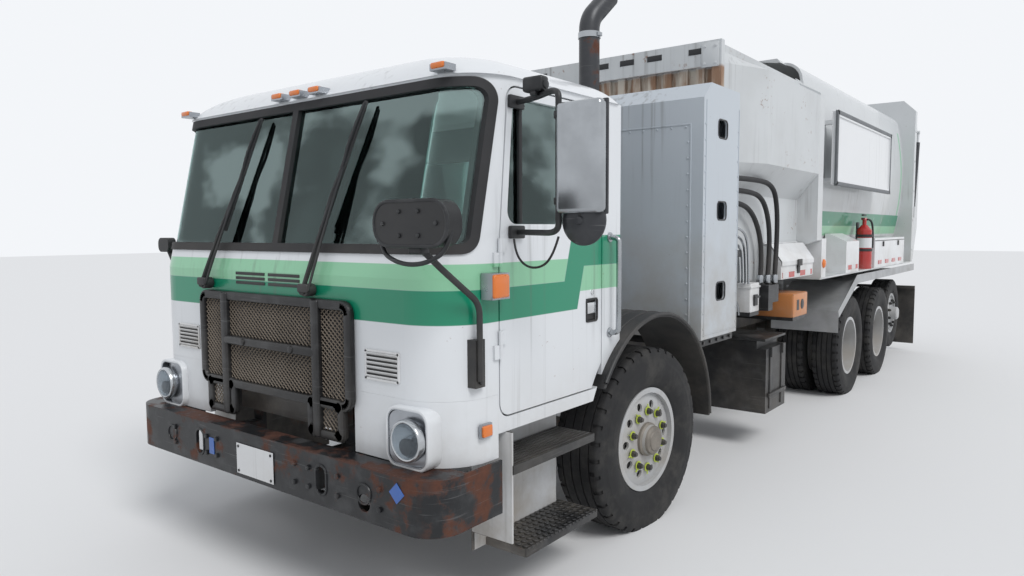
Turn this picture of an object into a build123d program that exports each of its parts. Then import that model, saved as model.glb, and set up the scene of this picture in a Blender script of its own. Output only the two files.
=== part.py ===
from build123d import *
from math import cos, radians, sin, tan
import os

os.makedirs("parts", exist_ok=True)

# An automated side-loading refuse truck: cab over engine, four axles, gas tanks behind the cab,
# a side hopper and a barrel-sided body that tips on a rear hinge, and a reach arm on the right.
# Millimetres. The truck faces -Y, its left side is +X, and the ground is Z = 0.
# Places along the truck are counted from the front axle, which stands at axle_y.

axle_y = -3180.0
gap = 0.5
seat = 0.3
clearance = 8.0

# Axles
front_track_half = 1027.0
drive_axles_y = (4477.0, 5837.0)
tag_axle_y = 7158.0
front_axle_z = 514.0
drive_axle_z = 505.0
tag_axle_z = 600.0
steer_rest = -4.1
kingpin_x = 880.0

# Frame
rail_half = 430.0
rail_depth = 270.0
rail_flange = 90.0
rail_wall = 10.0
rail_top = 1030.0
rail_front = -1560.0
rail_rear = 7840.0
crossmember_wall = 12.0
crossmembers_y = (-1500.0, 1050.0, 2850.0, 3250.0, 5330.0, 6560.0, 7800.0)

# Bumper
bumper_half = 1200.0
bumper_front = -1860.0
bumper_rear = -1440.0
bumper_low = 521.0
bumper_high = 755.0
bumper_wall = 12.0
bumper_corner = 150.0
tow_slot_x = 505.0
tow_slot_width = 60.0
tow_slot_height = 120.0
lamp_hole_x = 790.0
lamp_hole_radius = 38.0

# Cab
cab_half = 1172.0
cab_front = -1740.0
cab_rear = -390.0
cab_front_top = -1552.0
cab_low = 862.0
cab_belt = 1540.0
cab_top = 2390.0
cab_corner = 250.0
cab_wall = 45.0
cab_floor_z = 950.0
roof_top = 2590.0
roof_wall = 22.0
# Height, and how far the plan is drawn in
roof_steps = ((cab_top, -12.0), (cab_top + 55, 55.0), (cab_top + 125, 225.0), (roof_top, 560.0))
seam_z = 1035.0
arch_radius = 745.0
arch_wall = 40.0
tunnel_half = 480.0
tunnel_high = 1500.0
tunnel_wall = 20.0

# Windows of the cab
screen_wrap = 168.0
screen_low = 1640.0
screen_high = 2378.0
screen_corner = 90.0
gasket_width = 42.0
gasket_proud = 8.0
divider_half = 22.0
glass_inset = 14.0
glass_thick = 7.0
rear_window_half = 720.0
rear_window_low = 1790.0
rear_window_high = 2160.0

# Doors
door_front = -1425.0
door_front_top = -1358.0
door_bend_z = 1650.0
door_rear = -575.0
door_low = 925.0
door_high = 2358.0
door_thick = 44.0
door_corner = 70.0
door_window_front = -1366.0
door_window_front_top = -1318.0
door_window_rear = -630.0
door_window_low = 1765.0
door_window_high = 2308.0
door_window_corner = 60.0
door_glass_inset = 24.0

door_hinge_out = 12.0
door_hinges_z = (1250.0, 1645.0)
hinge_height = 60.0
hinge_radius = 10.0
handle_y = -675.0
handle_z = 1334.0
mirror_x = 1615.0
mirror_y = -1440.0
mirror_width = 205.0
mirror_depth = 60.0
mirror_low = 1800.0
mirror_high = 2225.0
mirror_base_y = -1310.0
mirror_right_y = -1020.0
round_mirror_z = 1775.0
round_mirror_radius = 98.0
round_mirror_depth = 30.0
mirror_corner = 30.0
mirror_arm_below = 70.0
mirror_arm_above = 60.0
mirror_tube_radius = 12.0
mirror_base_thick = 22.0
roof_markers_x = (-1000.0, -116.0, 33.0, 182.0, 1000.0)
seat_x = 735.0
seat_floor = 1310.0
dash_half = 1060.0
spot_left = ((1198.0, -1580.0, 1120.0), (1198.0, -1580.0, 1440.0), (1198.0, -1800.0, 1590.0), (1160.0, -1900.0, 1690.0))
spot_left_head = (1155.0, -1890.0, 1765.0)
spot_right = ((-1198.0, -1580.0, 1120.0), (-1198.0, -1580.0, 1500.0), (-1245.0, -1610.0, 1640.0))
spot_right_head = (-1250.0, -1612.0, 1662.0)
spot_tube_radius = 13.0
wipers_x = ((-545.0, -330.0), (321.0, 480.0))
wiper_z = 1470.0
wiper_joint_z = 2030.0
wiper_blade_z = (1770.0, 2290.0)
wiper_off = 22.0
wiper_radius = 9.0
wiper_pivot_out = 64.0
wiper_pivot_radius = 22.0

# Wheels: a tyre's width and radius and its rim's radius
front_tyre = {"width": 315.0, "radius": 538.0, "rim": 289.0}
drive_tyre = {"width": 279.0, "radius": 527.0, "rim": 289.0}
tag_tyre = {"width": 245.0, "radius": 455.0, "rim": 252.0}
# A wheel's disc face, then its hub's outer end, the axle's end, bore, drum's inner end and drum radius
front_face = 118.0
front_hub = (172.0, -46.0, 95.0, -85.0, 200.0)
drive_hub = (150.0, -16.0, 95.0, -150.0, 205.0)
tag_face = 98.0
tag_hub = (190.0, 41.0, 70.0, -40.0, 180.0)
spindle_length = 100.0
kingpin_arm_z = 118.0
kingpin_arm_thick = 18.0
twin_middle = 893.0
twin_spacing = 343.0
tag_middle = 960.0
drive_beam_half = 876.0
tag_beam_half = 1000.0
fender_rear_inner = 560.0
fender_sheet = 5.0
fender_arms_y = (4640.0, 5157.0, 6500.0, 7680.0)
flap_y = 7870.0

# Lower front panel, grille and lamps
skirt_wall = 30.0
skirt_low = 757.0
skirt_rear = -1430.0
grille_half = 615.0
grille_low = 935.0
grille_high = 1432.0
grille_face = -1776.0
grille_bar = 52.0
grille_upright_x = 375.0
grille_leg_x = 430.0
grille_leg_width = 270.0
grille_leg_low = 790.0
headlamp_x = 980.0
headlamp_z = 880.0
bezel_x = 955.0
bezel_width = 215.0
bezel_height = 225.0
bezel_corner = 55.0
bezel_thick = 24.0
headlamp_radius = 78.0
headlamp_rear = 40.0
headlamp_depth = 74.0

# Steps
step_front = -1372.0
step_rear = -700.0
step_inner = 960.0
step_outer = 1200.0
step_high_z = 672.0
step_low_z = 302.0
step_thick = 36.0
well_wall = 6.0

# Front fenders
fender_radius = 722.0
fender_thick = 22.0
fender_inner = 830.0
fender_outer = 1212.0

# Gas tank enclosure
tank_front = 564.0
tank_rear = 1156.0
tank_half = 1220.0
tank_low = 1030.0
tank_high = 2666.0
tank_chamfer_y = 112.0
tank_chamfer_z = 104.0
tank_wall = 14.0
tank_hole_y = 868.0
tank_holes_z = (2392.0, 1860.0, 1330.0)
tank_hole_width = 150.0
tank_hole_height = 115.0
tanks_z = (1330.0, 1860.0, 2390.0)
tank_length = 2240.0
tank_middle_y = 860.0
tank_radius = 225.0

# Stacks behind the cab
stack_x = 600.0
stack_y = 210.0
stack_radius = 65.0
stack_top = 3060.0
cleaner_x = -1010.0
cleaner_radius = 118.0

# Hopper and body
hopper_front = 1250.0
hopper_rear = 3050.0
hopper_half = 1040.0
hopper_low = 1336.0
hopper_high = 3050.0
hopper_wall = 20.0
sill_z = 1790.0
mouth_front = 1400.0
mouth_rear = 2950.0
flare_x = 1220.0
flare_front = 1720.0
flare_low = 2226.0
flare_high = 2915.0
flare_foot = 2000.0
rib_rear = 3200.0
body_rear = 7500.0
body_wall = 24.0
body_low = 1336.0
frame_rear = 7620.0
frame_low = 1285.0
frame_high = 3470.0
frame_chamfer = 150.0
subframe_low = 1038.0
subframe_half = 400.0
subframe_width = 80.0
# The barrel's section: points on its left half, as (X, Z)
barrel_foot = (940.0, 1450.0)
barrel_side = (1085.0, 2350.0)
barrel_top = (1015.0, 3120.0)
barrel_shoulder = (960.0, 3225.0)
barrel_edge = (830.0, 3272.0)
barrel_crown = 3345.0
rib_low_z = 1637.0
flare_shoulder = 3000.0
mouth_high = 2840.0
beam_half = 1066.0
beam_depth = 55.0
beam_height = 160.0
beam_rise = 15.0
ribs = 15
rib_pitch = 128.0
rib_width = 64.0
rib_depth = 26.0
rib_low = 2500.0
subframe_front = 2560.0
shelf_z = 1290.0
dump_hinge = (7800.0, 1160.0)
dump_pin_radius = 32.0
pin_clearance = 0.5
sign_back = 1222.0
sign_face = 1272.0
sign_front = 3440.0
sign_rear = 5750.0
sign_low = 2150.0
sign_high = 2822.0
sign_border = 45.0

# Tailgate
tailgate_half = 1150.0
tailgate_front = 7632.0
tailgate_rear = 8290.0
tailgate_low = 1300.0
tailgate_high = 3370.0
tailgate_hinge = (7662.0, 3422.0)
tailgate_wall = 25.0

# Right-hand reach arm
guides_y = (1950.0, 2350.0)
guide_low = 1045.0
guide_size = 124.0
guide_wall = 10.0
guide_right = -1100.0
guide_left = 960.0
runner_size = 88.0
arm_x = -1262.0
arm_z = 1262.0
arm_length = 780.0
finger_pivots_y = (1840.0, 2460.0)
finger_length = 500.0
finger_x = -1384.0
finger_low = 488.0
finger_high = 642.0
finger_pin_radius = 16.0
arm_y = 2150.0
arm_half = 60.0
arm_ear_out = 80.0
arm_pin_radius = 25.0
saddle_x = -1340.0
carriage_plate_x = -1160.0
carriage_plate_thick = 40.0
runner_end = 720.0

# Packer
packer_half = 950.0
packer_low = 1366.0
packer_front = 1300.0

# Hoses: each one's X, and its route's points as (Y, Z) from the enclosure to the valve block
hose_start = tank_rear + gap
hose_foot = 1300.0
# A hose leans a little where it meets the valve block, so its middle ends just above
hose_end = hose_foot + 4.0
hoses = (
    (1172.0, ((hose_start, 2095.0), (1600.0, 2108.0), (2010.0, 2085.0), (2118.0, 1900.0), (2120.0, 1610.0),
              (2080.0, hose_end))),
    (1138.0, ((hose_start, 2015.0), (1540.0, 2022.0), (1870.0, 1985.0), (2030.0, 1800.0), (2055.0, 1540.0),
              (2012.0, hose_end))),
    (1104.0, ((hose_start, 1935.0), (1440.0, 1938.0), (1720.0, 1885.0), (1910.0, 1725.0), (1980.0, 1510.0),
              (1945.0, hose_end))),
)
hose_radius = 19.0
bend_share = 0.45

# Extinguisher
extinguisher_at = (1140.0, 5165.0)
extinguisher_radius = 80.0

# Toolbox and lid
toolbox_y = (2165.0, 3030.0)
lid_hinge = (1051.0, 1622.0)
lid_bar_radius = 5.5
lid_lugs_y = (2265.0, 2597.0, 2930.0)
box_inner_x = 1012.0

# Cylinders
hoist_base = (6300.0, 830.0)
hoist_eye = (3400.0, 1190.0)
hoist_plate_x = 80.0
hoist_pin_radius = 30.0
hoist_radius = 70.0
hoist_rod_radius = 45.0
hoist_barrel_span = (60.0, 1900.0)
hoist_rod_from = 700.0
gate_radius = 27.0
gate_rod_radius = 14.0
gate_barrel_span = (40.0, 1010.0)
gate_rod_from = 110.0
cylinder_end_wall = 60.0
rod_clearance = 0.5
gate_base = (7715.0, 1950.0)
gate_eye = (7960.0, 3080.0)
gate_cylinder_x = 1186.0
gate_plate_x = 1218.0
gate_pin_radius = 14.0
hoist_ear_x = 65.0
lug_x = 850.0
lug_out = 38.0
lug_thick = 20.0
lug_pin_radius = 16.0


def along(offset):
    """The frame's Y of a place given from the front axle."""
    return axle_y + offset


def write(piece, name):
    """Label a finished piece and write it."""
    piece.part.label = name
    export_step(piece.part, f"parts/{name}.step")


def block(x0, x1, y0, y1, z0, z1, mode=Mode.ADD):
    """A box between two corners, its Y given from the front axle."""
    with Locations(((x0 + x1) / 2, along((y0 + y1) / 2), (z0 + z1) / 2)):
        Box(x1 - x0, y1 - y0, z1 - z0, mode=mode)


def bar(start, end, radius, mode=Mode.ADD):
    """A round bar between two points, their Y given from the front axle."""
    foot = Vector(start[0], along(start[1]), start[2])
    way = Vector(end[0], along(end[1]), end[2]) - foot
    with BuildSketch(Plane(origin=foot, z_dir=way)) as face:
        Circle(radius)
    extrude(face.sketch, amount=way.length, mode=mode)


def tube(points, radii, radius):
    """A bent round tube along points, their Y given from the front axle."""
    with BuildLine():
        path = FilletPolyline(*[(x, along(y), z) for x, y, z in points], radius=radii)
    with BuildSketch(Plane(origin=path @ 0, z_dir=path % 0)) as face:
        Circle(radius)
    sweep(face.sketch, path=path)


def side_profile(points, x0, x1, mode=Mode.ADD):
    """A slab between two X planes with a side outline of (Y from the front axle, Z) points."""
    with BuildSketch(Plane.YZ.offset(x0)) as face:
        with BuildLine():
            Polyline(*[(along(y), z) for y, z in points], close=True)
        make_face()
    extrude(face.sketch, amount=x1 - x0, mode=mode)


def front_at(height):
    """The Y of the cab's front face at a height: upright below the belt and raked above it."""
    rake = (cab_front_top - cab_front) / (cab_top - cab_belt)
    return cab_front + rake * max(0.0, height - cab_belt)


def cab_plan(height, front, inset):
    """The cab's plan at one height: square at the rear, rounded at the front corners."""
    with BuildSketch(Plane.XY.offset(height)) as plan:
        half = cab_half - inset
        low = along(front + inset)
        high = along(cab_rear - inset)
        with BuildLine():
            Polyline((-half, low), (half, low), (half, high), (-half, high), close=True)
        make_face()
        corners = plan.vertices().group_by(Axis.Y)[0]
        fillet(corners, cab_corner - inset)
    return plan.sketch


def cab_form(inset, low, high, mode=Mode.ADD):
    """The cab's outer form, or that form moved in by inset, between two heights."""
    extrude(cab_plan(low, cab_front, inset), amount=cab_belt - low, mode=mode)
    belt = cab_plan(cab_belt, cab_front, inset)
    top = cab_plan(high, front_at(high), inset)
    loft(sections=[belt.face(), top.face()], mode=mode)


def front_window(grow, mode):
    """The windshield's outline seen from the side, grown by a margin, through the front and both corners."""
    with BuildSketch(Plane.YZ.offset(-cab_half - 60)) as face:
        low = screen_low - grow
        high = screen_high + grow
        with BuildLine():
            Polyline((along(cab_front - 100), low), (along(front_at(low) + screen_wrap + grow), low),
                     (along(front_at(high) + screen_wrap + grow), high), (along(cab_front - 100), high), close=True)
        make_face()
        fillet(face.vertices().sort_by(Axis.X)[-2:], screen_corner + grow)
    extrude(face.sketch, amount=2 * cab_half + 120, mode=mode)


def door_outline(x, front, front_top, rear, low, high, inset, corner):
    """A door or window outline seen from the side, with its front edge leaning back above the bend."""
    with BuildSketch(Plane.YZ.offset(x)) as face:
        top = along(front_top + inset)
        foot = along(front + inset)
        back = along(rear - inset)
        with BuildLine():
            if low < door_bend_z:
                Polyline((foot, low + inset), (back, low + inset), (back, high - inset), (top, high - inset),
                         (foot, door_bend_z), close=True)
            else:
                Polyline((foot, low + inset), (back, low + inset), (back, high - inset), (top, high - inset), close=True)
        make_face()
        corners = [v for v in face.vertices() if abs(v.Y - door_bend_z) > 1]
        fillet(corners, corner - inset)
    return face.sketch


# The ladder frame: two channels and their crossmembers, with the arm's guide tubes on top
with BuildPart() as frame:
    for side in (-1, 1):
        inner = rail_half - rail_flange
        x0, x1 = sorted((side * rail_half, side * inner))
        c0, c1 = sorted((side * (rail_half - rail_wall), side * inner))
        block(x0, x1, rail_front, rail_rear, rail_top - rail_depth, rail_top)
        web_low = rail_top - rail_depth + rail_wall
        block(c0, c1, rail_front, rail_rear, web_low, rail_top - rail_wall, Mode.SUBTRACT)
    half = rail_half - rail_wall
    for y in crossmembers_y:
        low = rail_top - rail_depth + rail_wall
        if y == crossmembers_y[4]:
            high = low + 90
        else:
            high = rail_top - rail_wall
        block(-half, half, y - crossmember_wall / 2, y + crossmember_wall / 2, low, high)
        block(-half, half, y - 40, y + 40, low, low + crossmember_wall)
    for y in guides_y:
        s = guide_size / 2
        z = guide_low + s
        block(guide_right, guide_left, y - s, y + s, guide_low, guide_low + guide_size)
        t = s - guide_wall
        block(guide_right, guide_left, y - t, y + t, z - t, z + t, Mode.SUBTRACT)
    for x in (-rail_half + 45, rail_half - 45):
        y0, y1 = guides_y[0] - guide_size / 2, guides_y[1] + guide_size / 2
        block(x - 45, x + 45, y0, y1, rail_top, guide_low)
    for side in (-1, 1):
        plate = sorted((side * (subframe_half + clearance), side * rail_half))
        y, z = dump_hinge
        side_profile(((y - 70, rail_top), (y + 40, rail_top), (y + 40, z + 20), (y + 15, z + 50), (y - 15, z + 50),
                      (y - 70, z - 40)), *plate)
        bar((side * (subframe_half - subframe_width - 10), y, z), (plate[0 if side > 0 else 1], y, z), dump_pin_radius)
        plate = sorted((side * hoist_plate_x, side * (hoist_plate_x + 20)))
        y, z = hoist_base
        side_profile(((y - 50, z - 60), (crossmembers_y[5] - crossmember_wall / 2, z - 60),
                      (crossmembers_y[5] - crossmember_wall / 2, z + 60), (y - 50, z + 40)), *plate)
    bar((-hoist_plate_x, y, z), (hoist_plate_x, y, z), hoist_pin_radius)
    with Locations((0, along(crossmembers_y[-1]), rail_top - rail_depth / 2)):
        with GridLocations(90, 0, 2, 1):
            with Locations((0, 0, -28), (0, 0, 28)):
                Cylinder(8.5, 60, rotation=(90, 0, 0), mode=Mode.SUBTRACT)
write(frame, "frame")

# The channel bumper, wrapped back at both ends
with BuildPart() as bumper:
    for inset, mode in ((0.0, Mode.ADD), (bumper_wall, Mode.SUBTRACT)):
        with BuildSketch(Plane.XY.offset(bumper_low + inset)) as outline:
            half = bumper_half - inset
            low = along(bumper_front + inset)
            high = along(bumper_rear + inset)
            with BuildLine():
                Polyline((-half, low), (half, low), (half, high), (-half, high), close=True)
            make_face()
            fillet(outline.vertices().group_by(Axis.Y)[0], bumper_corner - inset)
        extrude(amount=bumper_high - bumper_low - 2 * inset, mode=mode)
    block(-900, 900, bumper_front + 110, bumper_rear + 5, bumper_low - 1, bumper_high + 1, Mode.SUBTRACT)
    for side in (-1, 1):
        x0, x1 = sorted((side * 880, side * (bumper_half - bumper_wall)))
        block(x0, x1, bumper_front + 200, bumper_rear + 5, bumper_low - 1, bumper_high + 1, Mode.SUBTRACT)
    middle = (bumper_low + bumper_high) / 2
    with BuildSketch(Plane.XZ.offset(-along(bumper_front - 5))):
        with Locations((-tow_slot_x, middle), (tow_slot_x, middle)):
            RectangleRounded(tow_slot_width, tow_slot_height, 22)
        with Locations((lamp_hole_x, middle - 40)):
            Circle(lamp_hole_radius)
        with Locations((-89, middle), (89, middle)):
            Circle(4)
    extrude(amount=-60, mode=Mode.SUBTRACT)
    for side in (-1, 1):
        x0, x1 = sorted((side * (rail_half - rail_wall), side * (rail_half - 80)))
        block(x0, x1, bumper_front + bumper_wall, rail_front - seat, 560, 720)
        block(x0, x1, rail_front - 30, rail_front - seat, 560, rail_top)
write(bumper, "bumper")

# The ledge behind the cab's front wall, above the lower panel
with BuildPart() as ledge:
    extrude(cab_plan(seam_z, cab_front, cab_wall - 1), amount=cab_wall)
    block(-cab_half, cab_half, skirt_rear, 0, seam_z - 1, seam_z + cab_wall + 1, Mode.SUBTRACT)

# The cab shell: floor, walls and pillars, with its windows, doors, engine tunnel and wheel arch cut
with BuildPart() as cab_shell:
    cab_form(0.0, cab_low, cab_top)
    cab_form(cab_wall, cab_floor_z, cab_top + 1, Mode.SUBTRACT)
    block(-cab_half, cab_half, cab_front - 60, skirt_rear, cab_low - 1, seam_z, Mode.SUBTRACT)
    inner = cab_half - cab_wall
    block(-inner, inner, skirt_rear, skirt_rear + cab_wall, cab_low, seam_z + cab_wall)
    add(ledge.part)
    with BuildSketch(Plane.YZ.offset(-inner)):
        with Locations((along(0), front_axle_z)):
            Circle(arch_radius + arch_wall)
    extrude(amount=2 * inner)
    with BuildSketch(Plane.YZ.offset(-cab_half - 5)):
        with Locations((along(0), front_axle_z)):
            Circle(arch_radius)
    extrude(amount=2 * cab_half + 10, mode=Mode.SUBTRACT)
    block(-cab_half, cab_half, cab_rear, 900, -400, cab_top, Mode.SUBTRACT)
    block(-cab_half, cab_half, -900, 900, -400, cab_low, Mode.SUBTRACT)
    block(-tunnel_half, tunnel_half, cab_front + 1, cab_rear, cab_low, tunnel_high)
    x = tunnel_half - tunnel_wall
    block(-x, x, cab_front + cab_wall, cab_rear, cab_low - 1, tunnel_high - tunnel_wall, Mode.SUBTRACT)
    block(-x, x, cab_front - 1, cab_front + cab_wall + 1, cab_low - 1, grille_high - grille_bar, Mode.SUBTRACT)
    block(-cab_half, cab_half, cab_front - 60, skirt_rear, cab_low - 1, seam_z, Mode.SUBTRACT)
    front_window(0.0, Mode.SUBTRACT)
    y0, y1 = cab_rear - cab_wall - 5, cab_rear + 5
    block(-rear_window_half, rear_window_half, y0, y1, rear_window_low, rear_window_high, Mode.SUBTRACT)
    doorway = door_outline(-cab_half - 5, door_front, door_front_top, door_rear, door_low, door_high, 0.0, door_corner)
    extrude(doorway, amount=2 * cab_half + 10, mode=Mode.SUBTRACT)
    for side in (-1, 1):
        for z in door_hinges_z:
            low = z - hinge_height - seat
            block(*sorted((side * cab_half, side * (cab_half + door_hinge_out))), door_front - 40, door_front, low,
                  z - seat)
            x = side * (cab_half + door_hinge_out)
            bar((x, door_front, low), (x, door_front, z - seat), hinge_radius)
write(cab_shell, "cab_shell")

# The domed roof cap, a shell lofted through four plans
with BuildPart() as cab_roof:
    for wall, mode in ((0.0, Mode.ADD), (roof_wall, Mode.SUBTRACT)):
        sections = []
        for height, inset in roof_steps:
            with BuildSketch(Plane.XY.offset(height - wall)) as plan:
                half = cab_half - inset - wall
                low = along(cab_front_top + inset * 0.7 + wall)
                high = along(cab_rear - max(0.0, inset) * 0.25 - wall)
                with BuildLine():
                    Polyline((-half, low), (half, low), (half, high), (-half, high), close=True)
                make_face()
                fillet(plan.vertices().group_by(Axis.Y)[0], 240)
                fillet(plan.vertices().group_by(Axis.Y)[-1], 60)
            sections.append(plan.sketch.face())
        loft(sections=sections, mode=mode)
    block(-cab_half - 50, cab_half + 50, cab_front - 50, cab_rear + 50, cab_top - roof_wall, cab_top, Mode.SUBTRACT)
write(cab_roof, "cab_roof")

# The windshield's two curved panes and the rear pane
with BuildPart() as cab_glass:
    cab_form(glass_inset, cab_belt - 80, cab_top)
    cab_form(glass_inset + glass_thick, cab_belt - 80, cab_top, Mode.SUBTRACT)
    front_window(-gasket_width, Mode.INTERSECT)
    block(-divider_half, divider_half, cab_front - 60, cab_front + 500, 1500, 2500, Mode.SUBTRACT)
    y = cab_rear - cab_wall / 2
    block(-rear_window_half + gap, rear_window_half - gap, y, y + glass_thick, rear_window_low + gap,
          rear_window_high - gap)
write(cab_glass, "cab_glass")

# What the rubber is cut away for: the two panes either side of the divider
with BuildPart() as pane_openings:
    front_window(-gasket_width + gap, Mode.ADD)
    block(-divider_half + gap, divider_half - gap, cab_front - 70, cab_front + 600, 1500, 2500, Mode.SUBTRACT)

# The black rubber round the windshield and down its middle, with two long wipers resting up the glass
with BuildPart() as window_gaskets:
    cab_form(-gasket_proud, cab_belt - 80, cab_top)
    cab_form(cab_wall, cab_belt - 80, cab_top, Mode.SUBTRACT)
    front_window(-gap, Mode.INTERSECT)
    add(pane_openings.part, mode=Mode.SUBTRACT)
    for x, tip_x in wipers_x:
        pivot_y = front_at(wiper_z)
        bar((x, pivot_y - wiper_pivot_out, wiper_z), (x, pivot_y - gap, wiper_z), wiper_pivot_radius)
        bar((x, pivot_y - wiper_pivot_out + wiper_radius, wiper_z),
            (tip_x - 20, front_at(wiper_joint_z) - wiper_off, wiper_joint_z), wiper_radius)
        bar((tip_x - 100, front_at(wiper_blade_z[0]) - wiper_off, wiper_blade_z[0]),
            (tip_x + 60, front_at(wiper_blade_z[1]) - wiper_off, wiper_blade_z[1]), wiper_radius)
write(window_gaskets, "window_gaskets")


def door(side):
    """One cab door's panel, with its window cut and its grab recess."""
    with BuildPart() as panel:
        x0, x1 = sorted((side * cab_half, side * (cab_half - door_thick)))
        leaf_outline = door_outline(x0, door_front, door_front_top, door_rear, door_low, door_high, clearance,
                                    door_corner)
        extrude(leaf_outline, amount=door_thick)
        window = door_outline(x0, door_window_front, door_window_front_top, door_window_rear, door_window_low,
                              door_window_high, 0.0, door_window_corner)
        extrude(window, amount=door_thick, mode=Mode.SUBTRACT)
        with BuildSketch(Plane.YZ.offset(-cab_half - 5)):
            with Locations((along(0), front_axle_z)):
                Circle(arch_radius + arch_wall + clearance)
        extrude(amount=2 * cab_half + 10, mode=Mode.SUBTRACT)
        for z in door_hinges_z:
            leaf = sorted((side * cab_half, side * (cab_half + door_hinge_out)))
            block(*leaf, door_front, door_front + 40, z, z + hinge_height)
            x = side * (cab_half + door_hinge_out)
            bar((x, door_front, z), (x, door_front, z + hinge_height), hinge_radius)
        face0, face1 = sorted((side * cab_half, side * (cab_half - 14)))
        block(face0, face1, handle_y - 55, handle_y + 55, handle_z - 60, handle_z + 60, Mode.SUBTRACT)
    return panel


def door_glass(side):
    """The pane in one door, seated in its window."""
    with BuildPart() as pane:
        x0, x1 = sorted((side * (cab_half - door_glass_inset), side * (cab_half - door_glass_inset - glass_thick)))
        window = door_outline(x0, door_window_front, door_window_front_top, door_window_rear, door_window_low,
                              door_window_high, gap, door_window_corner)
        extrude(window, amount=glass_thick)
    return pane


def mirror_set(side, head_y):
    """One door's mirrors: two arms to a tube, the tall head on it and the round head below."""
    with BuildPart() as heads:
        x = side * mirror_x
        tube_x = side * (mirror_x - mirror_width / 2)
        tube_y = head_y - mirror_depth / 2
        face = side * cab_half
        with BuildSketch(Plane.XZ.offset(-along(head_y))):
            with Locations((x, (mirror_low + mirror_high) / 2)):
                RectangleRounded(mirror_width, mirror_high - mirror_low, mirror_corner)
        extrude(amount=mirror_depth)
        bar((x, head_y, round_mirror_z), (x, head_y - round_mirror_depth, round_mirror_z), round_mirror_radius)
        bar((tube_x, tube_y, mirror_low - mirror_arm_below), (tube_x, tube_y, mirror_high + mirror_arm_above),
            mirror_tube_radius)
        for z in (mirror_low - mirror_arm_below, mirror_high + mirror_arm_above):
            x0, x1 = sorted((face + side * gap, face + side * mirror_base_thick))
            block(x0, x1, mirror_base_y - 50, mirror_base_y + 50, z - 28, z + 28)
            bar((face + side * 14, mirror_base_y, z), (tube_x, tube_y, z), mirror_tube_radius)
    return heads


for side, name, head_y in ((1, "left", mirror_y), (-1, "right", mirror_right_y)):
    write(door(side), f"door_{name}")
    write(door_glass(side), f"door_glass_{name}")
    write(mirror_set(side, head_y), f"mirrors_{name}")

# The lower front panel below the seam, wrapped round the corners to the step wells
with BuildPart() as front_skirt:
    extrude(cab_plan(skirt_low, cab_front, 0.0), amount=seam_z - gap - skirt_low)
    extrude(cab_plan(skirt_low - 1, cab_front, skirt_wall), amount=seam_z + 2 - skirt_low, mode=Mode.SUBTRACT)
    block(-cab_half, cab_half, skirt_rear - gap, cab_rear + 1, 0, seam_z, Mode.SUBTRACT)
    with BuildSketch(Plane.XZ.offset(-along(cab_front - 60))):
        with Locations((0, (grille_low + seam_z) / 2 - 60)):
            Rectangle(2 * grille_half - 30, seam_z + 200)
    extrude(amount=-300, mode=Mode.SUBTRACT)
    with BuildSketch(Plane.XZ.offset(-along(cab_front - 60))):
        with Locations((-headlamp_x, headlamp_z), (headlamp_x, headlamp_z)):
            Circle(headlamp_radius + 2)
    extrude(amount=-200, mode=Mode.SUBTRACT)
write(front_skirt, "front_skirt")

# The grille: an outer frame with two uprights, a bar across, two legs and the mesh behind
with BuildPart() as grille:
    middle = (grille_low + grille_high) / 2
    with BuildSketch(Plane.XZ.offset(-along(grille_face))):
        with Locations((0, middle)):
            RectangleRounded(2 * grille_half, grille_high - grille_low, 55)
            RectangleRounded(2 * (grille_half - grille_bar), grille_high - grille_low - 2 * grille_bar, 25,
                             mode=Mode.SUBTRACT)
        for side in (-1, 1):
            with Locations((side * grille_upright_x, (grille_leg_low + grille_high) / 2)):
                Rectangle(grille_bar, grille_high - grille_leg_low)
            with Locations((side * grille_leg_x, (grille_leg_low + grille_low) / 2)):
                Rectangle(grille_leg_width, grille_low - grille_leg_low)
        with Locations((0, middle)):
            Rectangle(2 * grille_upright_x, grille_bar)
    extrude(amount=-(cab_front - gap - grille_face))
    with BuildSketch(Plane.XZ.offset(-along(grille_face + 14))):
        with Locations((0, middle)):
            Rectangle(2 * grille_half - grille_bar, grille_high - grille_low - grille_bar)
    extrude(amount=-4)
    for side in (-1, 1):
        x0, x1 = sorted((side * (grille_half - 90), side * grille_half))
        block(x0, x1, cab_front - gap - 2, cab_front - gap, grille_low, grille_high)
write(grille, "grille")

# The headlamps' bezels, which follow the rounded corners of the front panel
with BuildPart() as bezels:
    low = headlamp_z - bezel_height / 2
    extrude(cab_plan(low, cab_front, -bezel_thick), amount=bezel_height)
    extrude(cab_plan(low - 1, cab_front, -seat), amount=bezel_height + 2, mode=Mode.SUBTRACT)
    with BuildSketch(Plane.XZ.offset(-along(cab_front - 60))) as outlines:
        with Locations((-bezel_x, headlamp_z), (bezel_x, headlamp_z)):
            RectangleRounded(bezel_width, bezel_height, bezel_corner)
    extrude(outlines.sketch, amount=-260, mode=Mode.INTERSECT)

# Lamps: the headlamps in their bezels, amber turn lamps, side markers and roof markers
with BuildPart() as lamps:
    add(bezels.part)
    for side in (-1, 1):
        with BuildSketch(Plane.XZ.offset(-along(cab_front + headlamp_rear))):
            with Locations((side * headlamp_x, headlamp_z)):
                Circle(headlamp_radius)
        extrude(amount=headlamp_depth)
    for side in (-1, 1):
        x0, x1 = sorted((side * (cab_half + gap), side * (cab_half + 62)))
        block(x0, x1, -1540, -1425, 1452, 1562)
        x0, x1 = sorted((side * (cab_half + gap), side * (cab_half + 14)))
        block(x0, x1, -1560, -1490, 868, 928)
    for x in roof_markers_x:
        block(x - 45, x + 45, cab_front_top - 50, cab_front_top + 14, cab_top + 8, cab_top + 36)
    add(cab_roof.part.moved(Location((0, -seat, 0))), mode=Mode.SUBTRACT)
write(lamps, "lamps")

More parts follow.
